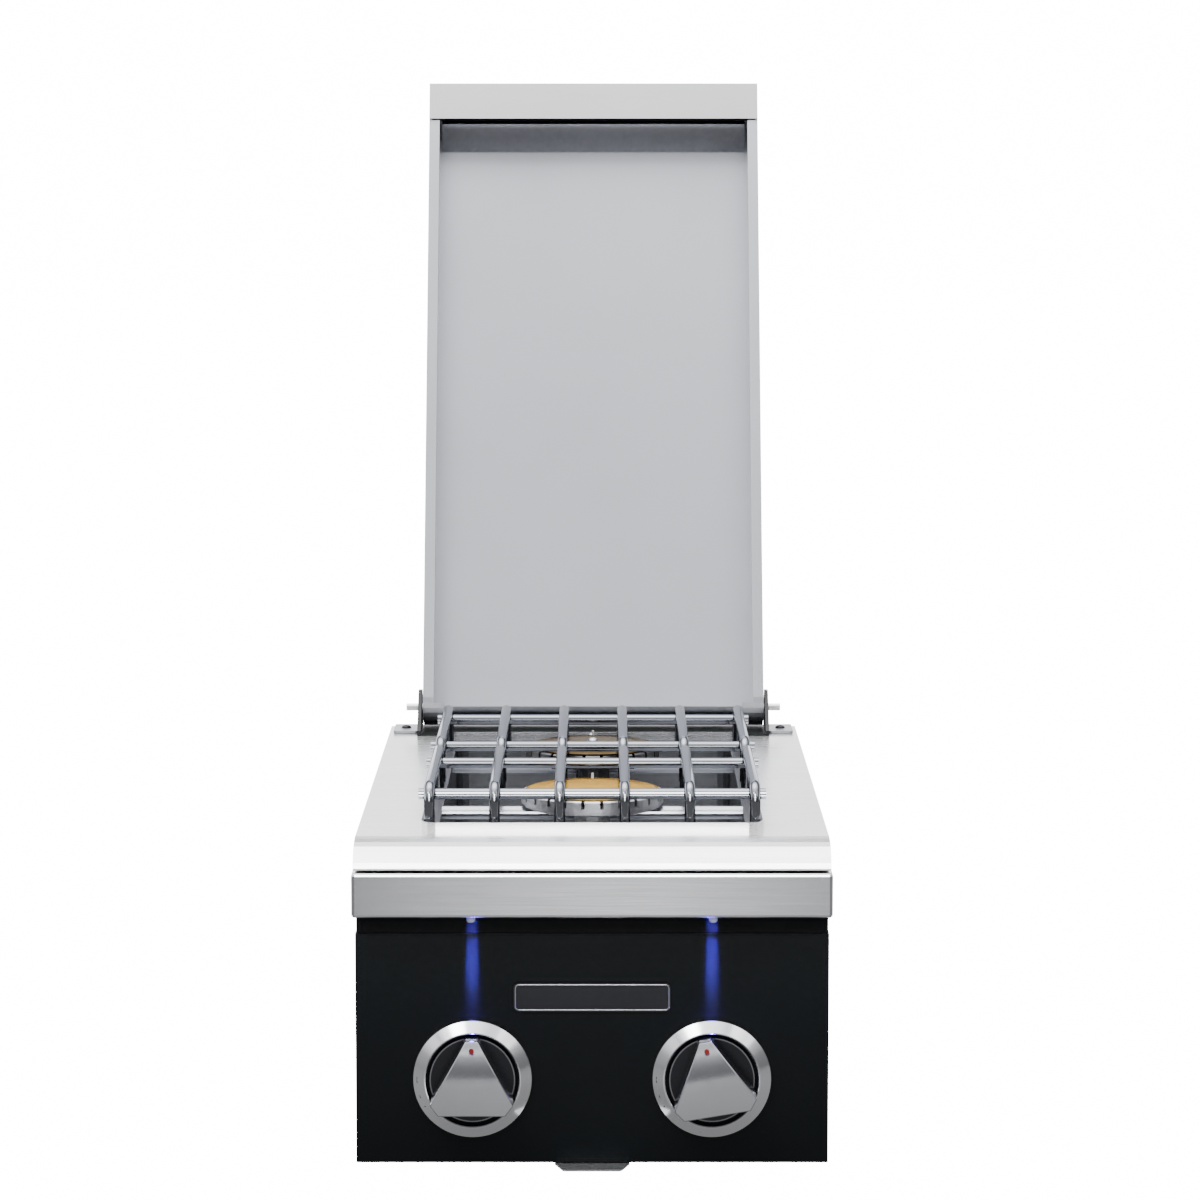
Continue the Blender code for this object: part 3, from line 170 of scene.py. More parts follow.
class Paint:
    """A material under construction: its node tree and its Principled shader."""

    def __init__(self, name, base, metallic, roughness, specular=0.5):
        self.material = bpy.data.materials.new(name)
        self.material.use_nodes = True
        self.tree = self.material.node_tree
        self.shader = self.tree.nodes["Principled BSDF"]
        self.set("Base Color", (*base, 1.0))
        self.set("Metallic", metallic)
        self.set("Roughness", roughness)
        self.set("Specular IOR Level", specular)
        self.material.diffuse_color = (*base, 1.0)

    def set(self, socket, value):
        self.shader.inputs[socket].default_value = value

    def node(self, kind, **values):
        made = self.tree.nodes.new(kind)
        for key, value in values.items():
            setattr(made, key, value)
        return made

    def link(self, output, target):
        self.tree.links.new(output, target)

    def noise(self, scale, stretch=(1, 1, 1), detail=3.0, roughness=0.5):
        """A noise value over the object's own metres, stretched along its axes."""
        place = self.node("ShaderNodeTexCoord")
        mapping = self.node("ShaderNodeMapping")
        mapping.inputs["Scale"].default_value = stretch
        texture = self.node("ShaderNodeTexNoise")
        texture.inputs["Scale"].default_value = scale
        texture.inputs["Detail"].default_value = detail
        texture.inputs["Roughness"].default_value = roughness
        self.link(place.outputs["Object"], mapping.inputs["Vector"])
        self.link(mapping.outputs["Vector"], texture.inputs["Vector"])
        return texture.outputs["Fac"]

    def spread(self, value, low, high, start=0.3, end=0.7):
        """The value's middle range stretched to run from low to high."""
        ranged = self.node("ShaderNodeMapRange")
        ranged.inputs["From Min"].default_value = start
        ranged.inputs["From Max"].default_value = end
        ranged.inputs["To Min"].default_value = low
        ranged.inputs["To Max"].default_value = high
        self.link(value, ranged.inputs["Value"])
        return ranged.outputs["Result"]

    def mix(self, factor, dark, light):
        """The base colour runs from dark to light with the factor."""
        mixed = self.node("ShaderNodeMix", data_type="RGBA")
        mixed.inputs["A"].default_value = (*dark, 1.0)
        mixed.inputs["B"].default_value = (*light, 1.0)
        self.link(factor, mixed.inputs["Factor"])
        self.link(mixed.outputs["Result"], self.shader.inputs["Base Color"])

    def bump(self, value, strength, distance):
        made = self.node("ShaderNodeBump")
        made.inputs["Strength"].default_value = strength
        made.inputs["Distance"].default_value = distance
        self.link(value, made.inputs["Height"])
        last = self.shader.inputs["Normal"].links
        if last:
            self.link(last[0].from_socket, made.inputs["Normal"])
        self.link(made.outputs["Normal"], self.shader.inputs["Normal"])

    def slant(self, colour):
        """Tint of what the metal mirrors at a slant."""
        self.set("Specular Tint", (*colour, 1.0))


def scaled(colour, factor):
    return tuple(min(1.0, channel * factor) for channel in colour)


GRAIN = {"X": (0.012, 1, 1), "Y": (1, 0.012, 1), "Z": (1, 1, 0.012)}


def brushed(name, base, roughness, grain, metallic=1.0, depth=0.12, swing=0.05):
    """Sheet metal with fine lines along one axis and a faint cloudy sheen."""
    paint = Paint(name, base, metallic, roughness)
    lines = paint.noise(1400, GRAIN[grain], 4.0, 0.6)
    clouds = paint.noise(7, (1, 1, 1), 2.0)
    rough = paint.spread(lines, roughness - swing, roughness + swing)
    paint.link(rough, paint.shader.inputs["Roughness"])
    paint.mix(paint.spread(clouds, 0, 1), scaled(base, 0.96), scaled(base, 1.03))
    paint.bump(lines, depth, 0.00003)
    return paint


def polished(name, base, roughness, smear=0.03):
    """Bright plated metal with faint handling marks."""
    paint = Paint(name, base, 1.0, roughness)
    marks = paint.noise(90, (1, 1, 1), 5.0, 0.65)
    rough = paint.spread(marks, roughness, roughness + smear, 0.45, 0.75)
    paint.link(rough, paint.shader.inputs["Roughness"])
    paint.mix(paint.spread(paint.noise(25), 0, 1), scaled(base, 0.96), base)
    return paint


def turned_metal(name, base, roughness):
    """Plated ring turned on a lathe: its grooves run round it, so the lights flash across it."""
    paint = polished(name, base, roughness, 0.05)
    paint.set("Anisotropic", 0.85)
    grooves = paint.node("ShaderNodeTangent", direction_type="RADIAL", axis="Y")
    paint.link(grooves.outputs["Tangent"], paint.shader.inputs["Tangent"])
    return paint


def black_enamel(name, base, roughness, specular):
    """Smooth black paint with a fine orange peel."""
    paint = Paint(name, base, 0.0, roughness, specular)
    peel = paint.noise(900, (1, 1, 1), 2.0)
    paint.bump(peel, 0.10, 0.00004)
    paint.mix(paint.spread(paint.noise(6), 0, 1), scaled(base, 0.85), scaled(base, 1.2))
    rough = paint.spread(paint.noise(60), roughness - 0.04, roughness + 0.04)
    paint.link(rough, paint.shader.inputs["Roughness"])
    return paint


def cast(name, base, roughness, bump_size, metallic=1.0, depth=0.5):
    """Cast metal with a pitted skin and heat staining."""
    paint = Paint(name, base, metallic, roughness)
    pits = paint.noise(bump_size, (1, 1, 1), 6.0, 0.7)
    paint.bump(pits, depth, 0.0004)
    paint.mix(paint.spread(paint.noise(60), 0, 1), scaled(base, 0.7), scaled(base, 1.1))
    rough = paint.spread(pits, roughness - 0.08, roughness + 0.12)
    paint.link(rough, paint.shader.inputs["Roughness"])
    return paint


SLANT_TINTS = {
    "chrome": (0.55, 0.56, 0.59),
    "brass_cap": (0.95, 0.62, 0.22),
    "pan": (0.7, 0.7, 0.72),
    # Painted shade: the rear burner's cap and cast metal are darker copies, with darker tints here too
    "cap_rear": (0.45, 0.38, 0.30),
    "cast": (0.55, 0.55, 0.57),
    "cast_painted_shade": (0.3, 0.3, 0.3),
    "rod": (0.8, 0.8, 0.82),
}


def tint_metals(made):
    """Tint of what each metal mirrors at a slant, one colour over the whole surface."""
    for name, tint in SLANT_TINTS.items():
        made[name].slant(tint)


def make_materials():
    """Every finish, by the name that the pieces below use."""
    made = {
        "deck": brushed("deck_steel", (0.90, 0.90, 0.90), 0.27, "X", 0.9, 0.04),
        "band": brushed("band_steel", (0.62, 0.63, 0.65), 0.17, "X", 1.0, 0.04, 0.03),
        "lid_in": brushed("lid_steel", (0.62, 0.64, 0.67), 0.42, "X"),
        "liner": brushed("liner_steel", (0.63, 0.645, 0.68), 0.40, "Z", 1.0, 0.06),
        "strip": brushed("strip_steel", (0.74, 0.74, 0.75), 0.36, "X"),
        # Painted shade: finish of the sheet that stands for the shade in the lid's end recess
        "recess": brushed("recess_painted_shade_steel", (0.83, 0.84, 0.91), 0.50, "X", 1.0, 0.04),
        "plate": brushed("plate_steel", (0.050, 0.052, 0.058), 0.34, "X", 1.0, 0.02, 0.03),
        "bright": brushed("bright_steel", (0.86, 0.86, 0.87), 0.30, "X", 0.9, 0.04),
        "plain_steel": brushed("plain_steel", (0.46, 0.47, 0.49), 0.34, "X"),
        "zinc": brushed("zinc_sheet", (0.46, 0.47, 0.49), 0.44, "Y"),
        "panel": black_enamel("panel_black", (0.0046, 0.0060, 0.0074), 0.36, 0.18),
        # Black of the front channel and lamp housings, also used as painted shadow on the lid's end strip
        # and the cord under the pull
        "channel": black_enamel("black_paint_and_painted_shadow", (0.002, 0.002, 0.003), 0.55, 0.12),
        "bracket": black_enamel("bracket_black", (0.006, 0.007, 0.008), 0.40, 0.35),
        "chrome": polished("chrome", (0.25, 0.26, 0.28), 0.07),
        "bezel": turned_metal("bezel_chrome", (0.90, 0.91, 0.93), 0.10),
        "knob": polished("knob_satin", (0.49, 0.50, 0.52), 0.20, 0.04),
        "knob_rim": polished("knob_rim", (0.22, 0.225, 0.24), 0.24, 0.04),
        # Painted shade: a dark copy of the knob's metal for the base disc, standing for the shade deep
        # inside the bezel
        "knob_painted_shade": polished("knob_painted_shade", (0.035, 0.036, 0.040), 0.24, 0.04),
        "rod": polished("rod_steel", (0.42, 0.43, 0.46), 0.20, 0.05),
        "brass": cast("brass", (0.62, 0.42, 0.16), 0.16, 90, depth=0.12),
        "brass_cap": cast("brass_front", (0.58, 0.41, 0.16), 0.18, 90, depth=0.10),
        # Painted shade: the rear burner's cap, base and head take darker copies of the front burner's brass
        # and cast metal
        "cap_rear": cast("brass_cap_painted_shade", (0.13, 0.11, 0.085), 0.16, 90, depth=0.12),
        "cast_painted_shade": cast("cast_aluminium_painted_shade", (0.16, 0.16, 0.165), 0.34, 420),
        "cast": cast("cast_aluminium", (0.62, 0.63, 0.66), 0.34, 420),
        "pan": brushed("pan_dark", (0.24, 0.245, 0.26), 0.34, "Y"),
        "red": black_enamel("red_dot", (0.36, 0.012, 0.008), 0.35, 0.5),
        "mark": black_enamel("tick_black", (0.01, 0.01, 0.012), 0.5, 0.3),
        "ceramic": black_enamel("ceramic", (0.72, 0.70, 0.66), 0.45, 0.4),
    }
    tint_metals(made)
    lens = Paint("lens_glass", (0.75, 0.80, 0.95), 0.0, 0.08)
    lens.mix(lens.spread(lens.noise(400), 0, 1), (0.24, 0.25, 0.28), (0.32, 0.33, 0.36))
    lens.set("Emission Color", (0.25, 0.35, 1.0, 1.0))
    lens.set("Emission Strength", 0.12)
    made["lens"] = lens
    return {key: paint.material for key, paint in made.items()}


FINISH = make_materials()

NODE_FINISH = {
    "deck": ["top_deck"],
    "band": ["bullnose_trim"],
    "lid_in": ["lid_skin"],
    "liner": ["lid_liner"],
    "strip": ["lid_pull"],
    "plate": ["front_plate"],
    "plain_steel": ["hinge_foot_left", "hinge_foot_right", "pan_screw"],
    "bright": ["hinge_pin_left", "hinge_pin_right", "drip_tray"],
    "zinc": ["base_plate", "housing", "tray_guide_left", "tray_guide_right", "manifold_pipe", "supply_tube",
             "air_shutter_left", "air_shutter_right", "stem_collar_left", "stem_collar_right"],
    "panel": ["control_panel"],
    "channel": ["front_channel", "light_housing_left", "light_housing_right"],
    "bracket": ["hinge_bracket"],
    "chrome": ["front_grate", "rear_grate"],
    "bezel": ["bezel_left", "bezel_right"],
    "knob": ["knob_left", "knob_right"],
    "rod": ["support_rod_front", "support_rod_rear"],
    # Painted shade: the rear burner's cap takes a darker copy of the front cap's brass
    "cap_rear": ["burner_cap_rear"],
    "brass_cap": ["burner_cap_front"],
    "brass": ["valve_stem_left", "valve_stem_right", "valve_body_left",
              "valve_body_right", "orifice_left", "orifice_right", "gas_elbow", "inlet_fitting"],
    "cast": ["burner_base_front", "burner_head_front", "burner_tube_left", "burner_tube_right"],
    # Painted shade: the rear burner's base and head take a darker copy of the front burner's cast metal
    "cast_painted_shade": ["burner_base_rear", "burner_head_rear"],
    "pan": ["burner_pan"],
    "red": ["pointer_dot_left", "pointer_dot_right"],
    "lens": ["light_lens_left", "light_lens_right"],
    "ceramic": ["igniter_front", "igniter_rear"],
}


def finish_nodes():
    """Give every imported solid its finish."""
    for finish, names in NODE_FINISH.items():
        for name in names:
            mesh = NODES[name].data
            mesh.materials.clear()
            mesh.materials.append(FINISH[finish])


def round_edges(name, width, segments=2, angle=40):
    """A small radius on a solid's sharp edges."""
    bevel = NODES[name].modifiers.new("edges", "BEVEL")
    bevel.width = width
    bevel.segments = segments
    bevel.limit_method = "ANGLE"
    bevel.angle_limit = math.radians(angle)
    bevel.harden_normals = True


# Making pieces

def piece(name, mesh, finish, body, smooth=35):
    """A new shown piece with its finish, riding on a body."""
    obj = bpy.data.objects.new(name, mesh)
    bpy.context.scene.collection.objects.link(obj)
    mesh.materials.append(FINISH[finish])
    mesh.shade_smooth()
    mesh.set_sharp_from_angle(angle=math.radians(smooth))
    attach(obj, body)
    return obj


def lathe(profile, steps, place, axis):
    """Closed ring of (radius, height) points swept about an axis at place."""
    bm = bmesh.new()
    rings = []
    for step in range(steps):
        angle = math.tau * step / steps
        rings.append([bm.verts.new((radius * math.cos(angle), radius * math.sin(angle), height))
                      for radius, height in profile])
    count = len(profile)
    for step in range(steps):
        here = rings[step]
        there = rings[(step + 1) % steps]
        for index in range(count):
            after = (index + 1) % count
            bm.faces.new((here[index], there[index], there[after], here[after]))
    bmesh.ops.recalc_face_normals(bm, faces=bm.faces)
    turn = Vector(axis).to_track_quat("Z", "Y").to_matrix().to_4x4()
    bm.transform(Matrix.Translation(place) @ turn)
    mesh = bpy.data.meshes.new("lathe")
    bm.to_mesh(mesh)
    bm.free()
    return mesh


def tube_mesh(runs, radius, sides=20):
    """Round tubes with closed ends along lists of points, in one mesh."""
    bm = bmesh.new()
    for points in runs:
        rings = []
        side = None
        for index, point in enumerate(points):
            before = points[max(index - 1, 0)]
            after = points[min(index + 1, len(points) - 1)]
            along = (after - before).normalized()
            if side is None:
                side = along.orthogonal().normalized()
            side = (side - along * side.dot(along)).normalized()
            other = along.cross(side)
            rings.append([bm.verts.new(point + side * (radius * math.cos(math.tau * k / sides))
                                       + other * (radius * math.sin(math.tau * k / sides)))
                          for k in range(sides)])
        for here, there in zip(rings, rings[1:]):
            for k in range(sides):
                bm.faces.new((here[k], here[(k + 1) % sides], there[(k + 1) % sides], there[k]))
        bm.faces.new(list(reversed(rings[0])))
        bm.faces.new(rings[-1])
    bmesh.ops.recalc_face_normals(bm, faces=bm.faces)
    mesh = bpy.data.meshes.new("tubes")
    bm.to_mesh(mesh)
    bm.free()
    return mesh


# Grates

def bar_points(x, start):
    """Leg, bend, top run, bend and leg of one bar."""
    steps = 12
    top = up(GRATE_TOP - BAR / 2)
    front = back(start + BAR / 2)
    rear = back(start + GRATE_LENGTH - BAR / 2)
    foot = up(GRATE_FOOT)
    points = [Vector((x, front, foot)), Vector((x, front, foot + 0.006))]
    for end, sign, order in ((front, 1, range(steps + 1)), (rear, -1, range(steps, -1, -1))):
        for step in order:
            angle = math.pi / 2 * step / steps
            points.append(Vector((x, end + sign * GRATE_BEND * (1 - math.cos(angle)),
                                  top - GRATE_BEND * (1 - math.sin(angle)))))
    points += [Vector((x, rear, foot + 0.006)), Vector((x, rear, foot))]
    return points


def fine_grate(name, start, flipped):
    """Smooth bent bars and cross rods in place of the faceted ones."""
    first = -BAR_PITCH * (BAR_COUNT - 1) / 2
    runs = [bar_points(first + BAR_PITCH * index, start) for index in range(BAR_COUNT)]
    reach = -first + BAR / 2 + ROD_OVERHANG
    height = up(GRATE_TOP - BAR / 2 - BAR + ROD_WELD)
    for distance in (ROD_FRONT, ROD_REAR):
        y = back(start + (GRATE_LENGTH - distance if flipped else distance))
        runs.append([Vector((-reach, y, height)), Vector((0, y, height)), Vector((reach, y, height))])
    made = piece(f"{name}_bars", tube_mesh(runs, BAR / 2, 24), "chrome", name, 50)
    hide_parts(name)


# Knobs

def knob_half_width(z):
    """Half the grip's width at a height about the stem."""
    if z < KNOB_SHOULDER:
        share = (z - KNOB_FOOT) / (KNOB_SHOULDER - KNOB_FOOT)
        return KNOB_HALF_FOOT + (KNOB_HALF_SHOULDER - KNOB_HALF_FOOT) * share
    share = (z - KNOB_SHOULDER) / (KNOB_TOP - KNOB_SHOULDER)
    return KNOB_HALF_SHOULDER + (KNOB_HALF_TOP - KNOB_HALF_SHOULDER) * share


def grip_mesh(front, shoulder):
    """Triangular grip whose face is flat below the stem and curves back above it."""
    bm = bmesh.new()
    rows = 28
    columns = 12
    grid = []
    rear = []
    for row in range(rows + 1):
        z = KNOB_FOOT + (KNOB_TOP - KNOB_FOOT) * row / rows
        half = knob_half_width(z)
        fall = KNOB_FACE_DROP * max(0.0, z / KNOB_TOP) ** 2
        grid.append([bm.verts.new((half * (2 * column / columns - 1), front + fall, z))
                     for column in range(columns + 1)])
        rear.append([bm.verts.new((half * (2 * column / columns - 1), shoulder, z))
                     for column in range(columns + 1)])
    for sheet, flip in ((grid, False), (rear, True)):
        for row in range(rows):
            for column in range(columns):
                corners = [sheet[row][column], sheet[row][column + 1], sheet[row + 1][column + 1],
                           sheet[row + 1][column]]
                bm.faces.new(list(reversed(corners)) if flip else corners)
    for row in range(rows):
        bm.faces.new((grid[row][0], grid[row + 1][0], rear[row + 1][0], rear[row][0]))
        bm.faces.new((grid[row][-1], rear[row][-1], rear[row + 1][-1], grid[row + 1][-1]))
    for column in range(columns):
        bm.faces.new((grid[0][column], rear[0][column], rear[0][column + 1], grid[0][column + 1]))
        bm.faces.new((grid[-1][column], grid[-1][column + 1], rear[-1][column + 1], rear[-1][column]))
    bmesh.ops.recalc_face_normals(bm, faces=bm.faces)
    mesh = bpy.data.meshes.new("grip")
    bm.to_mesh(mesh)
    bm.free()
    return mesh


def fine_knob(side, sign, turn):
    """Grip and base disc in place of the plain solid."""
    low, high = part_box(f"knob_{side}")
    x = sign * KNOB_X
    z = up(-KNOB_DROP)
    front = low.y
    rear = high.y
    place = Matrix.Translation((x, 0, z)) @ Matrix.Rotation(turn, 4, "Y")
    grip_back = rear - 0.003
    mesh = grip_mesh(front, grip_back)
    mesh.transform(place)
    body = f"{side}_knob"
    grip = piece(f"knob_grip_{side}", mesh, "knob", body, 50)
    bevel = grip.modifiers.new("edges", "BEVEL")
    bevel.width = 0.0011
    bevel.segments = 2
    bevel.limit_method = "ANGLE"
    bevel.angle_limit = math.radians(35)
    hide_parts(f"knob_{side}")
    depth = rear - grip_back + 0.001
    disc = lathe([(0.004, 0.0), (0.0302, 0.0), (0.0302, depth), (0.004, depth)],
                 96, (x, rear, z), (0, -1, 0))
    # Painted shade: the base disc is dark to give the shade deep inside the bezel
    base = piece(f"knob_base_{side}", disc, "knob_painted_shade", body, 40)
    rim = lathe([(0.0302, 0.0), (0.0315, 0.0), (0.0315, depth - 0.0006), (0.0311, depth), (0.0302, depth)],
                96, (x, rear, z), (0, -1, 0))
    piece(f"knob_rim_{side}", rim, "knob_rim", body, 40)


def ticks(place):
    """Small dark heat marks lying on the ring's sloping face."""
    bm = bmesh.new()
    slope = math.atan2(BEZEL_DEPTH - BEZEL_EDGE, BEZEL_OUTER - BEZEL_INNER)
    share = (BEZEL_OUTER - TICK_RADIUS) / (BEZEL_OUTER - BEZEL_INNER)
    lift = BEZEL_EDGE + (BEZEL_DEPTH - BEZEL_EDGE) * share
    for index, degrees in enumerate(TICK_ANGLES):
        size = (0.0028, 0.0042, 0.0005) if index == 0 else (0.0018, 0.0020, 0.0005)
        turn = Matrix.Rotation(math.radians(degrees), 4, "Z")
        lean = Matrix.Rotation(slope, 4, "Y")
        made = bmesh.ops.create_cube(bm, size=1.0, matrix=turn @ Matrix.Translation((TICK_RADIUS, 0, lift))
                                     @ lean @ Matrix.Diagonal((*size, 1)))
        for vertex in made["verts"]:
            vertex.co.x += 0.0002 * math.sin(9 * vertex.co.y * 1000)
    bm.transform(Matrix.Translation(place) @ Matrix.Rotation(math.pi / 2, 4, "X"))
    mesh = bpy.data.meshes.new("ticks")
    bm.to_mesh(mesh)
    bm.free()
    return mesh


def fine_bezel(side, sign):
    """Smooth turned ring with heat marks lying round its lower left."""
    low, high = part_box(f"bezel_{side}")
    place = (sign * KNOB_X, high.y, up(-KNOB_DROP))
    profile = [(BEZEL_INNER, 0), (BEZEL_OUTER, 0), (BEZEL_OUTER, BEZEL_EDGE - 0.0004),
               (BEZEL_OUTER - 0.0005, BEZEL_EDGE + 0.0004), (BEZEL_INNER + 0.0014, BEZEL_DEPTH - 0.0002),
               (BEZEL_INNER + 0.0007, BEZEL_DEPTH), (BEZEL_INNER + 0.0001, BEZEL_DEPTH - 0.0006)]
    mesh = lathe(profile, BEZEL_STEPS, place, (0, -1, 0))
    ring = piece(f"bezel_ring_{side}", mesh, "bezel", "body", 14)
    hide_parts(f"bezel_{side}")
    piece(f"bezel_ticks_{side}", ticks(place), "mark", "body")


# Lid and small fittings

def lid_place():
    """From across, along and depth in the lid to the world at rest."""
    along = Vector((0, math.sin(LID_LEAN), math.cos(LID_LEAN)))
    depth = Vector((0, math.cos(LID_LEAN), -math.sin(LID_LEAN)))
    turn = Matrix((Vector((1, 0, 0)), along, depth)).transposed().to_4x4()
    return Matrix.Translation((0, PIN_Y, PIN_Z)) @ turn


def painted_shade_sheet(name, start, end, finish):
    """Folded strip across the lid, in the gap between the liner and the finger pull: painted shade, a sheet
    standing for the shade in that gap.
    """
    bm = bmesh.new()
    outline = [(start, SHADE_SHEET_NEAR), (start + 0.001, SHADE_SHEET_FAR - 0.001), (start + 0.003, SHADE_SHEET_FAR),
               (end - 0.003, SHADE_SHEET_FAR), (end - 0.001, SHADE_SHEET_FAR - 0.001), (end, SHADE_SHEET_NEAR)]
    rows = [[bm.verts.new((x, t, n + offset)) for t, n in outline]
            for x in (-SHADE_SHEET_HALF, SHADE_SHEET_HALF) for offset in (0, 0.0007)]
    near, far, other_near, other_far = rows
    for a, b in ((near, other_near), (far, other_far), (near, far), (other_near, other_far)):
        for index in range(len(outline) - 1):
            bm.faces.new((a[index], a[index + 1], b[index + 1], b[index]))
    for index in (0, -1):
        bm.faces.new((near[index], far[index], other_far[index], other_near[index]))
    bmesh.ops.recalc_face_normals(bm, faces=bm.faces)
    bm.transform(lid_place())
    mesh = bpy.data.meshes.new("painted_shade_sheet")
    bm.to_mesh(mesh)
    bm.free()
    piece(name, mesh, finish, "lid")


def pull_painted_shadow_cord():
    """Thin black cord under the finger pull's lower edge: painted shadow, standing for the shade the pull
    casts there.
    """
    low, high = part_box("lid_pull")
    place = lid_place()
    ends = [place @ Vector((x, PULL_EDGE, PULL_DEPTH)) for x in (low.x + 0.002, 0.0, high.x - 0.002)]
    piece("pull_painted_shadow_cord", tube_mesh([ends], 0.0009, 12), "channel", "lid")


def dome_screw(name, radius, rise, place, axis, finish, body):
    """Plain round head on a flat foot."""
    angles = [step * math.pi / 20 for step in range(10)]
    curve = [(radius * math.cos(angle), rise * math.sin(angle)) for angle in angles]
    profile = [(0.0002, 0)] + curve + [(0.0002, rise)]
    return piece(name, lathe(profile, 32, place, axis), finish, body, 50)


def plate_rim():
    """Thin bright edge standing round the plain plate."""
    low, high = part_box("front_plate")
    centre = Vector(((low.x + high.x) / 2, low.y, (low.z + high.z) / 2))
    half = Vector(((high.x - low.x) / 2 - PLATE_RADIUS, 0, (high.z - low.z) / 2 - PLATE_RADIUS))
    loop = []
    for quarter, (right, above) in enumerate(((1, 1), (-1, 1), (-1, -1), (1, -1))):
        for step in range(7):
            angle = math.pi / 2 * (quarter + step / 6)
            reach = PLATE_RADIUS - 0.0012
            loop.append(centre + Vector((right * half.x + reach * math.cos(angle), 0,
                                         above * half.z + reach * math.sin(angle))))
    loop.append(loop[0])
    rim = piece("plate_rim", tube_mesh([loop], 0.00055, 10), "knob", "body", 60)


def small_screws():
    cap = dome_screw("cap_screw", 0.0045, 0.0034, (0, back(BURNER_FRONT + BURNER_PITCH), up(CAP_TOP)),
                     (0, 0, 1), "rod", "body")
    for side, _ in SIDES:
        low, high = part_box(f"hinge_foot_{side}")
        place = ((low.x + high.x) / 2, (low.y + high.y) / 2 - 0.001, high.z)
        screw = dome_screw(f"foot_screw_{side}", 0.0042, 0.0022, place, (0, 0, 1), "bracket", "body")


# Lights

def lamp(name, kind, place, aim, energy, colour=(1, 1, 1), **values):
    """A light at a place, aimed at a point."""
    data = bpy.data.lights.new(name, kind)
    data.energy = energy
    data.color = colour
    for key, value in values.items():
        setattr(data, key, value)
    obj = bpy.data.objects.new(name, data)
    bpy.context.scene.collection.objects.link(obj)
    obj.location = place
    obj.rotation_euler = (Vector(aim) - Vector(place)).to_track_quat("-Z", "Y").to_euler()
    return obj


def knob_lights():
    """Blue lamps under the band shining down the panel, and their glow above each knob."""
    for side, sign in SIDES:
        x = sign * KNOB_X
        place = (x, back(-PANEL_FRONT - 0.0045), up(BEAM_TOP))
        aim = (x, back(-PANEL_FRONT), up(BEAM_END))
        lamp(f"knob_light_{side}", "AREA", place, aim, BEAM_POWER, BEAM_COLOUR,
             shape="RECTANGLE", size=BEAM_WIDTH, size_y=BEAM_DEPTH, spread=BEAM_SPREAD)
        glow = (x, back(-GLOW_REACH), up(GLOW_HEIGHT))
        lamp(f"knob_glow_{side}", "POINT", glow, (x, 0, 0), GLOW_POWER, BEAM_COLOUR,
             shadow_soft_size=0.0015)


# Studio

def floor_light(paint):
    """The floor shows white to the camera and as a soft pool of light to the part."""
    place = paint.node("ShaderNodeTexCoord")
    pool = None
    for centre, light, near, far in FLOOR_POOLS:
        distance = paint.node("ShaderNodeVectorMath", operation="DISTANCE")
        distance.inputs[1].default_value = centre
        paint.link(place.outputs["Object"], distance.inputs[0])
        fall = paint.spread(distance.outputs["Value"], light, 0.0, near, far)
        total = paint.node("ShaderNodeMath", operation="ADD")
        total.inputs[0].default_value = FLOOR_LIGHT
        if pool:
            paint.link(pool, total.inputs[0])
        paint.link(fall, total.inputs[1])
        pool = total.outputs[0]
    seen = paint.node("ShaderNodeLightPath")
    strength = paint.node("ShaderNodeMix", data_type="FLOAT")
    paint.link(seen.outputs["Is Camera Ray"], strength.inputs["Factor"])
    paint.link(pool, strength.inputs["A"])
    strength.inputs["B"].default_value = WHITE_STRENGTH
    paint.link(strength.outputs["Result"], paint.shader.inputs["Emission Strength"])
    paint.set("Emission Color", (1.0, 1.0, 1.0, 1.0))


def ramp_by_height(tree, height, stops):
    """Grey light by the direction's height, as a colour output."""
    ramp = tree.nodes.new("ShaderNodeValToRGB")
    for index, (place, value) in enumerate(stops):
        stop = ramp.color_ramp.elements[index] if index < 2 else ramp.color_ramp.elements.new(place)
        stop.position = place
        stop.color = (value, value, value * 1.03, 1.0)
    tree.links.new(height, ramp.inputs["Fac"])
    return ramp.outputs["Color"]


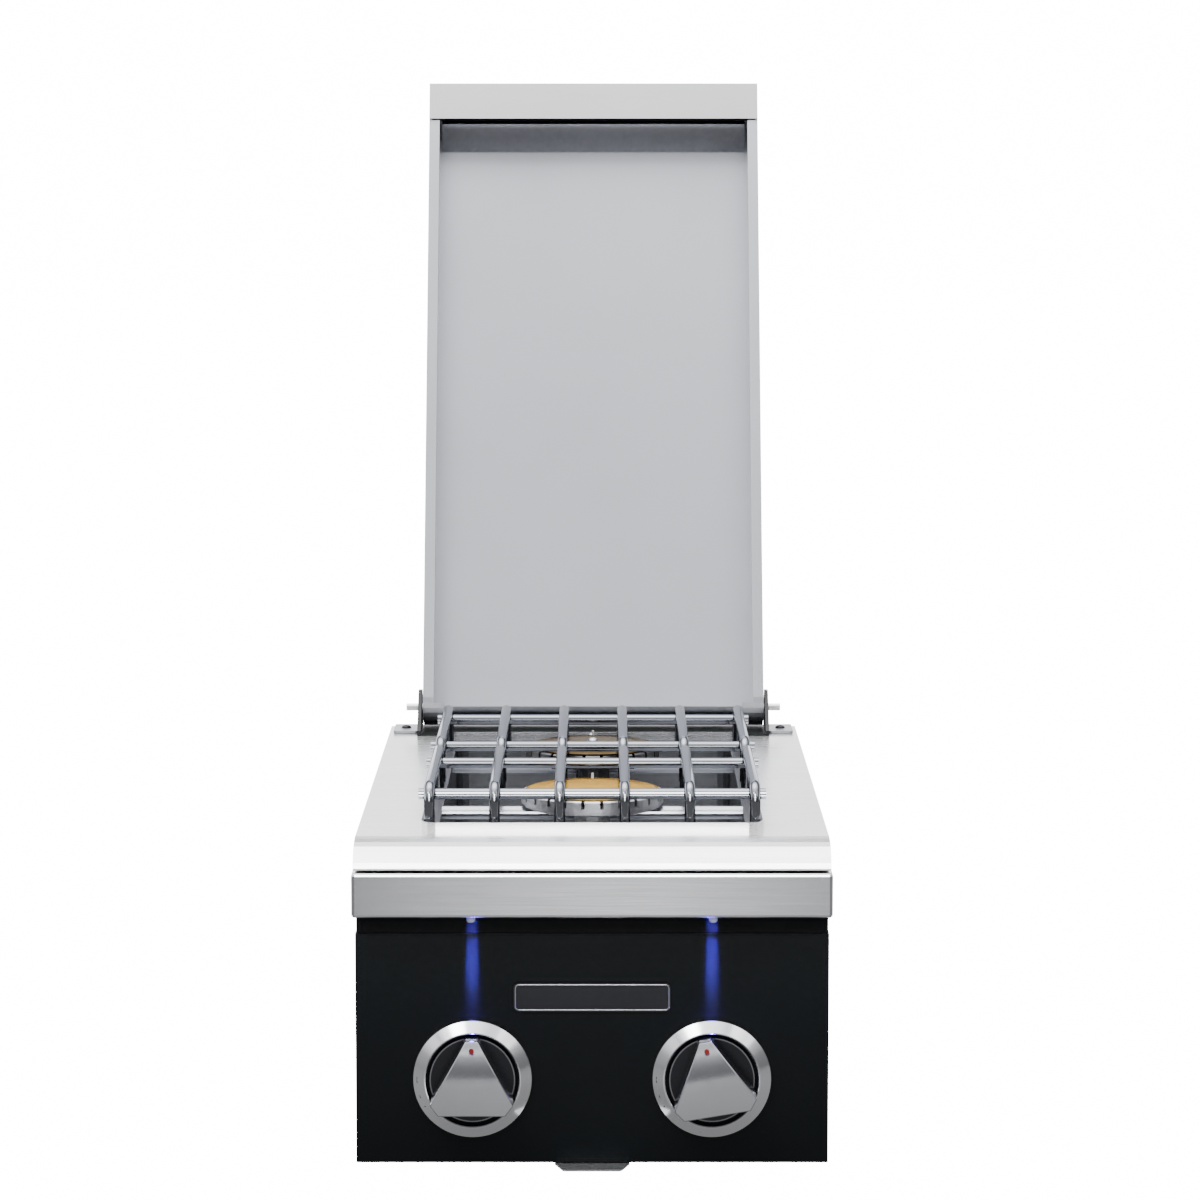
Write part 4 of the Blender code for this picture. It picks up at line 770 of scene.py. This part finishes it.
def studio_world():
    """Dark room with a lit ceiling before the part, a white wall behind it."""
    world = bpy.data.worlds.new("studio")
    bpy.context.scene.world = world
    world.use_nodes = True
    tree = world.node_tree
    direction = tree.nodes.new("ShaderNodeTexCoord")
    split = tree.nodes.new("ShaderNodeSeparateXYZ")
    tree.links.new(direction.outputs["Generated"], split.inputs["Vector"])
    front = ramp_by_height(tree, split.outputs["Z"], FRONT_STOPS)
    rear = ramp_by_height(tree, split.outputs["Z"], REAR_STOPS)
    halves = tree.nodes.new("ShaderNodeMapRange")
    halves.inputs["From Min"].default_value = -0.15
    halves.inputs["From Max"].default_value = 0.15
    tree.links.new(split.outputs["Y"], halves.inputs["Value"])
    blend = tree.nodes.new("ShaderNodeMix")
    blend.data_type = "RGBA"
    tree.links.new(halves.outputs["Result"], blend.inputs["Factor"])
    tree.links.new(front, blend.inputs["A"])
    tree.links.new(rear, blend.inputs["B"])
    surround = tree.nodes["Background"]
    tree.links.new(blend.outputs["Result"], surround.inputs["Color"])
    across = tree.nodes.new("ShaderNodeMapRange")
    across.inputs["From Min"].default_value = -0.6
    across.inputs["From Max"].default_value = 0.6
    across.inputs["To Min"].default_value = WORLD_LEFT_SHARE * WORLD_STRENGTH
    across.inputs["To Max"].default_value = WORLD_RIGHT_SHARE * WORLD_STRENGTH
    tree.links.new(split.outputs["X"], across.inputs["Value"])
    tree.links.new(across.outputs["Result"], surround.inputs["Strength"])
    plain = tree.nodes.new("ShaderNodeBackground")
    plain.inputs["Color"].default_value = (1.0, 1.0, 1.0, 1.0)
    plain.inputs["Strength"].default_value = WHITE_STRENGTH
    path = tree.nodes.new("ShaderNodeLightPath")
    choose = tree.nodes.new("ShaderNodeMixShader")
    tree.links.new(path.outputs["Is Camera Ray"], choose.inputs["Fac"])
    tree.links.new(surround.outputs["Background"], choose.inputs[1])
    tree.links.new(plain.outputs["Background"], choose.inputs[2])
    tree.links.new(choose.outputs["Shader"], tree.nodes["World Output"].inputs["Surface"])


def studio():
    """White floor, surround, room lamps and the narrow lamps before the front."""
    bm = bmesh.new()
    bmesh.ops.create_circle(bm, cap_ends=True, radius=14.0, segments=96)
    mesh = bpy.data.meshes.new("floor")
    bm.to_mesh(mesh)
    bm.free()
    floor = bpy.data.objects.new("floor", mesh)
    bpy.context.scene.collection.objects.link(floor)
    paper = Paint("floor_paper", (0.05, 0.05, 0.05), 0.0, 0.9, 0.0)
    paper.mix(paper.spread(paper.noise(3), 0, 1), (0.045, 0.045, 0.045), (0.055, 0.055, 0.055))
    floor_light(paper)
    mesh.materials.append(paper.material)
    studio_world()
    for name, place, aim, power, (width, depth), spread in ROOM_LAMPS:
        lamp(name, "AREA", place, aim, power, shape="RECTANGLE", size=width, size_y=depth,
             spread=math.radians(spread))
    for number, (height, drop, power) in enumerate(FRONT_STRIPS):
        front_strip(number, math.radians(height), math.radians(height + drop), power)


def front_strip(number, height, fall, power):
    """Narrow lamp at an angle above the front bend, unseen by the camera."""
    place = (0.0, back(-STRIP_REACH * math.cos(height)), up(STRIP_REACH * math.sin(height)))
    aim = (0.0, place[1] + math.cos(fall), place[2] - math.sin(fall))
    strip = lamp(f"strip_{number}", "AREA", place, aim, power, shape="RECTANGLE", size=STRIP_WIDTH,
                 size_y=STRIP_DEPTH, spread=STRIP_SPREAD)
    strip.visible_camera = False


def camera():
    data = bpy.data.cameras.new("camera")
    data.sensor_width = 36.0
    data.lens = CAMERA_LENS
    data.clip_start = 0.05
    data.clip_end = 60.0
    obj = bpy.data.objects.new("camera", data)
    bpy.context.scene.collection.objects.link(obj)
    obj.location = (CAMERA_X, back(-CAMERA_DISTANCE), up(CAMERA_RISE))
    obj.rotation_euler = (math.pi / 2 - CAMERA_PITCH, 0, 0)
    bpy.context.scene.camera = obj


finish_nodes()
for edged, radius in (("top_deck", 0.0003), ("lid_pull", 0.0004), ("lid_skin", 0.0004),
                      ("control_panel", 0.0005), ("front_plate", 0.0003), ("hinge_foot_left", 0.0004),
                      ("hinge_foot_right", 0.0004), ("drip_tray", 0.0003), ("hinge_bracket", 0.0003),
                      ("hinge_pin_left", 0.0006), ("hinge_pin_right", 0.0006)):
    round_edges(edged, radius)
fine_grate("front_grate", GRATE_FRONT, False)
fine_grate("rear_grate", GRATE_FRONT + GRATE_PITCH, True)
for side_name, side_sign in SIDES:
    fine_knob(side_name, side_sign, -RIGHT_KNOB_TURN if side_name == "right" else 0.0)
    fine_bezel(side_name, side_sign)
# Painted shade: a steel sheet in the lid's deep end recess, giving the shaded grey seen there
painted_shade_sheet("lid_recess_painted_shade", RECESS_SHADE_START, RECESS_SHADE_END, "recess")
# Painted shadow: a black strip across the gap at the lid's end
painted_shade_sheet("lid_end_painted_shadow", SHADOW_STRIP_START, SHADOW_STRIP_END, "channel")
# Painted shadow: a black cord under the finger pull's lower edge
pull_painted_shadow_cord()
small_screws()
plate_rim()
knob_lights()
studio()
camera()
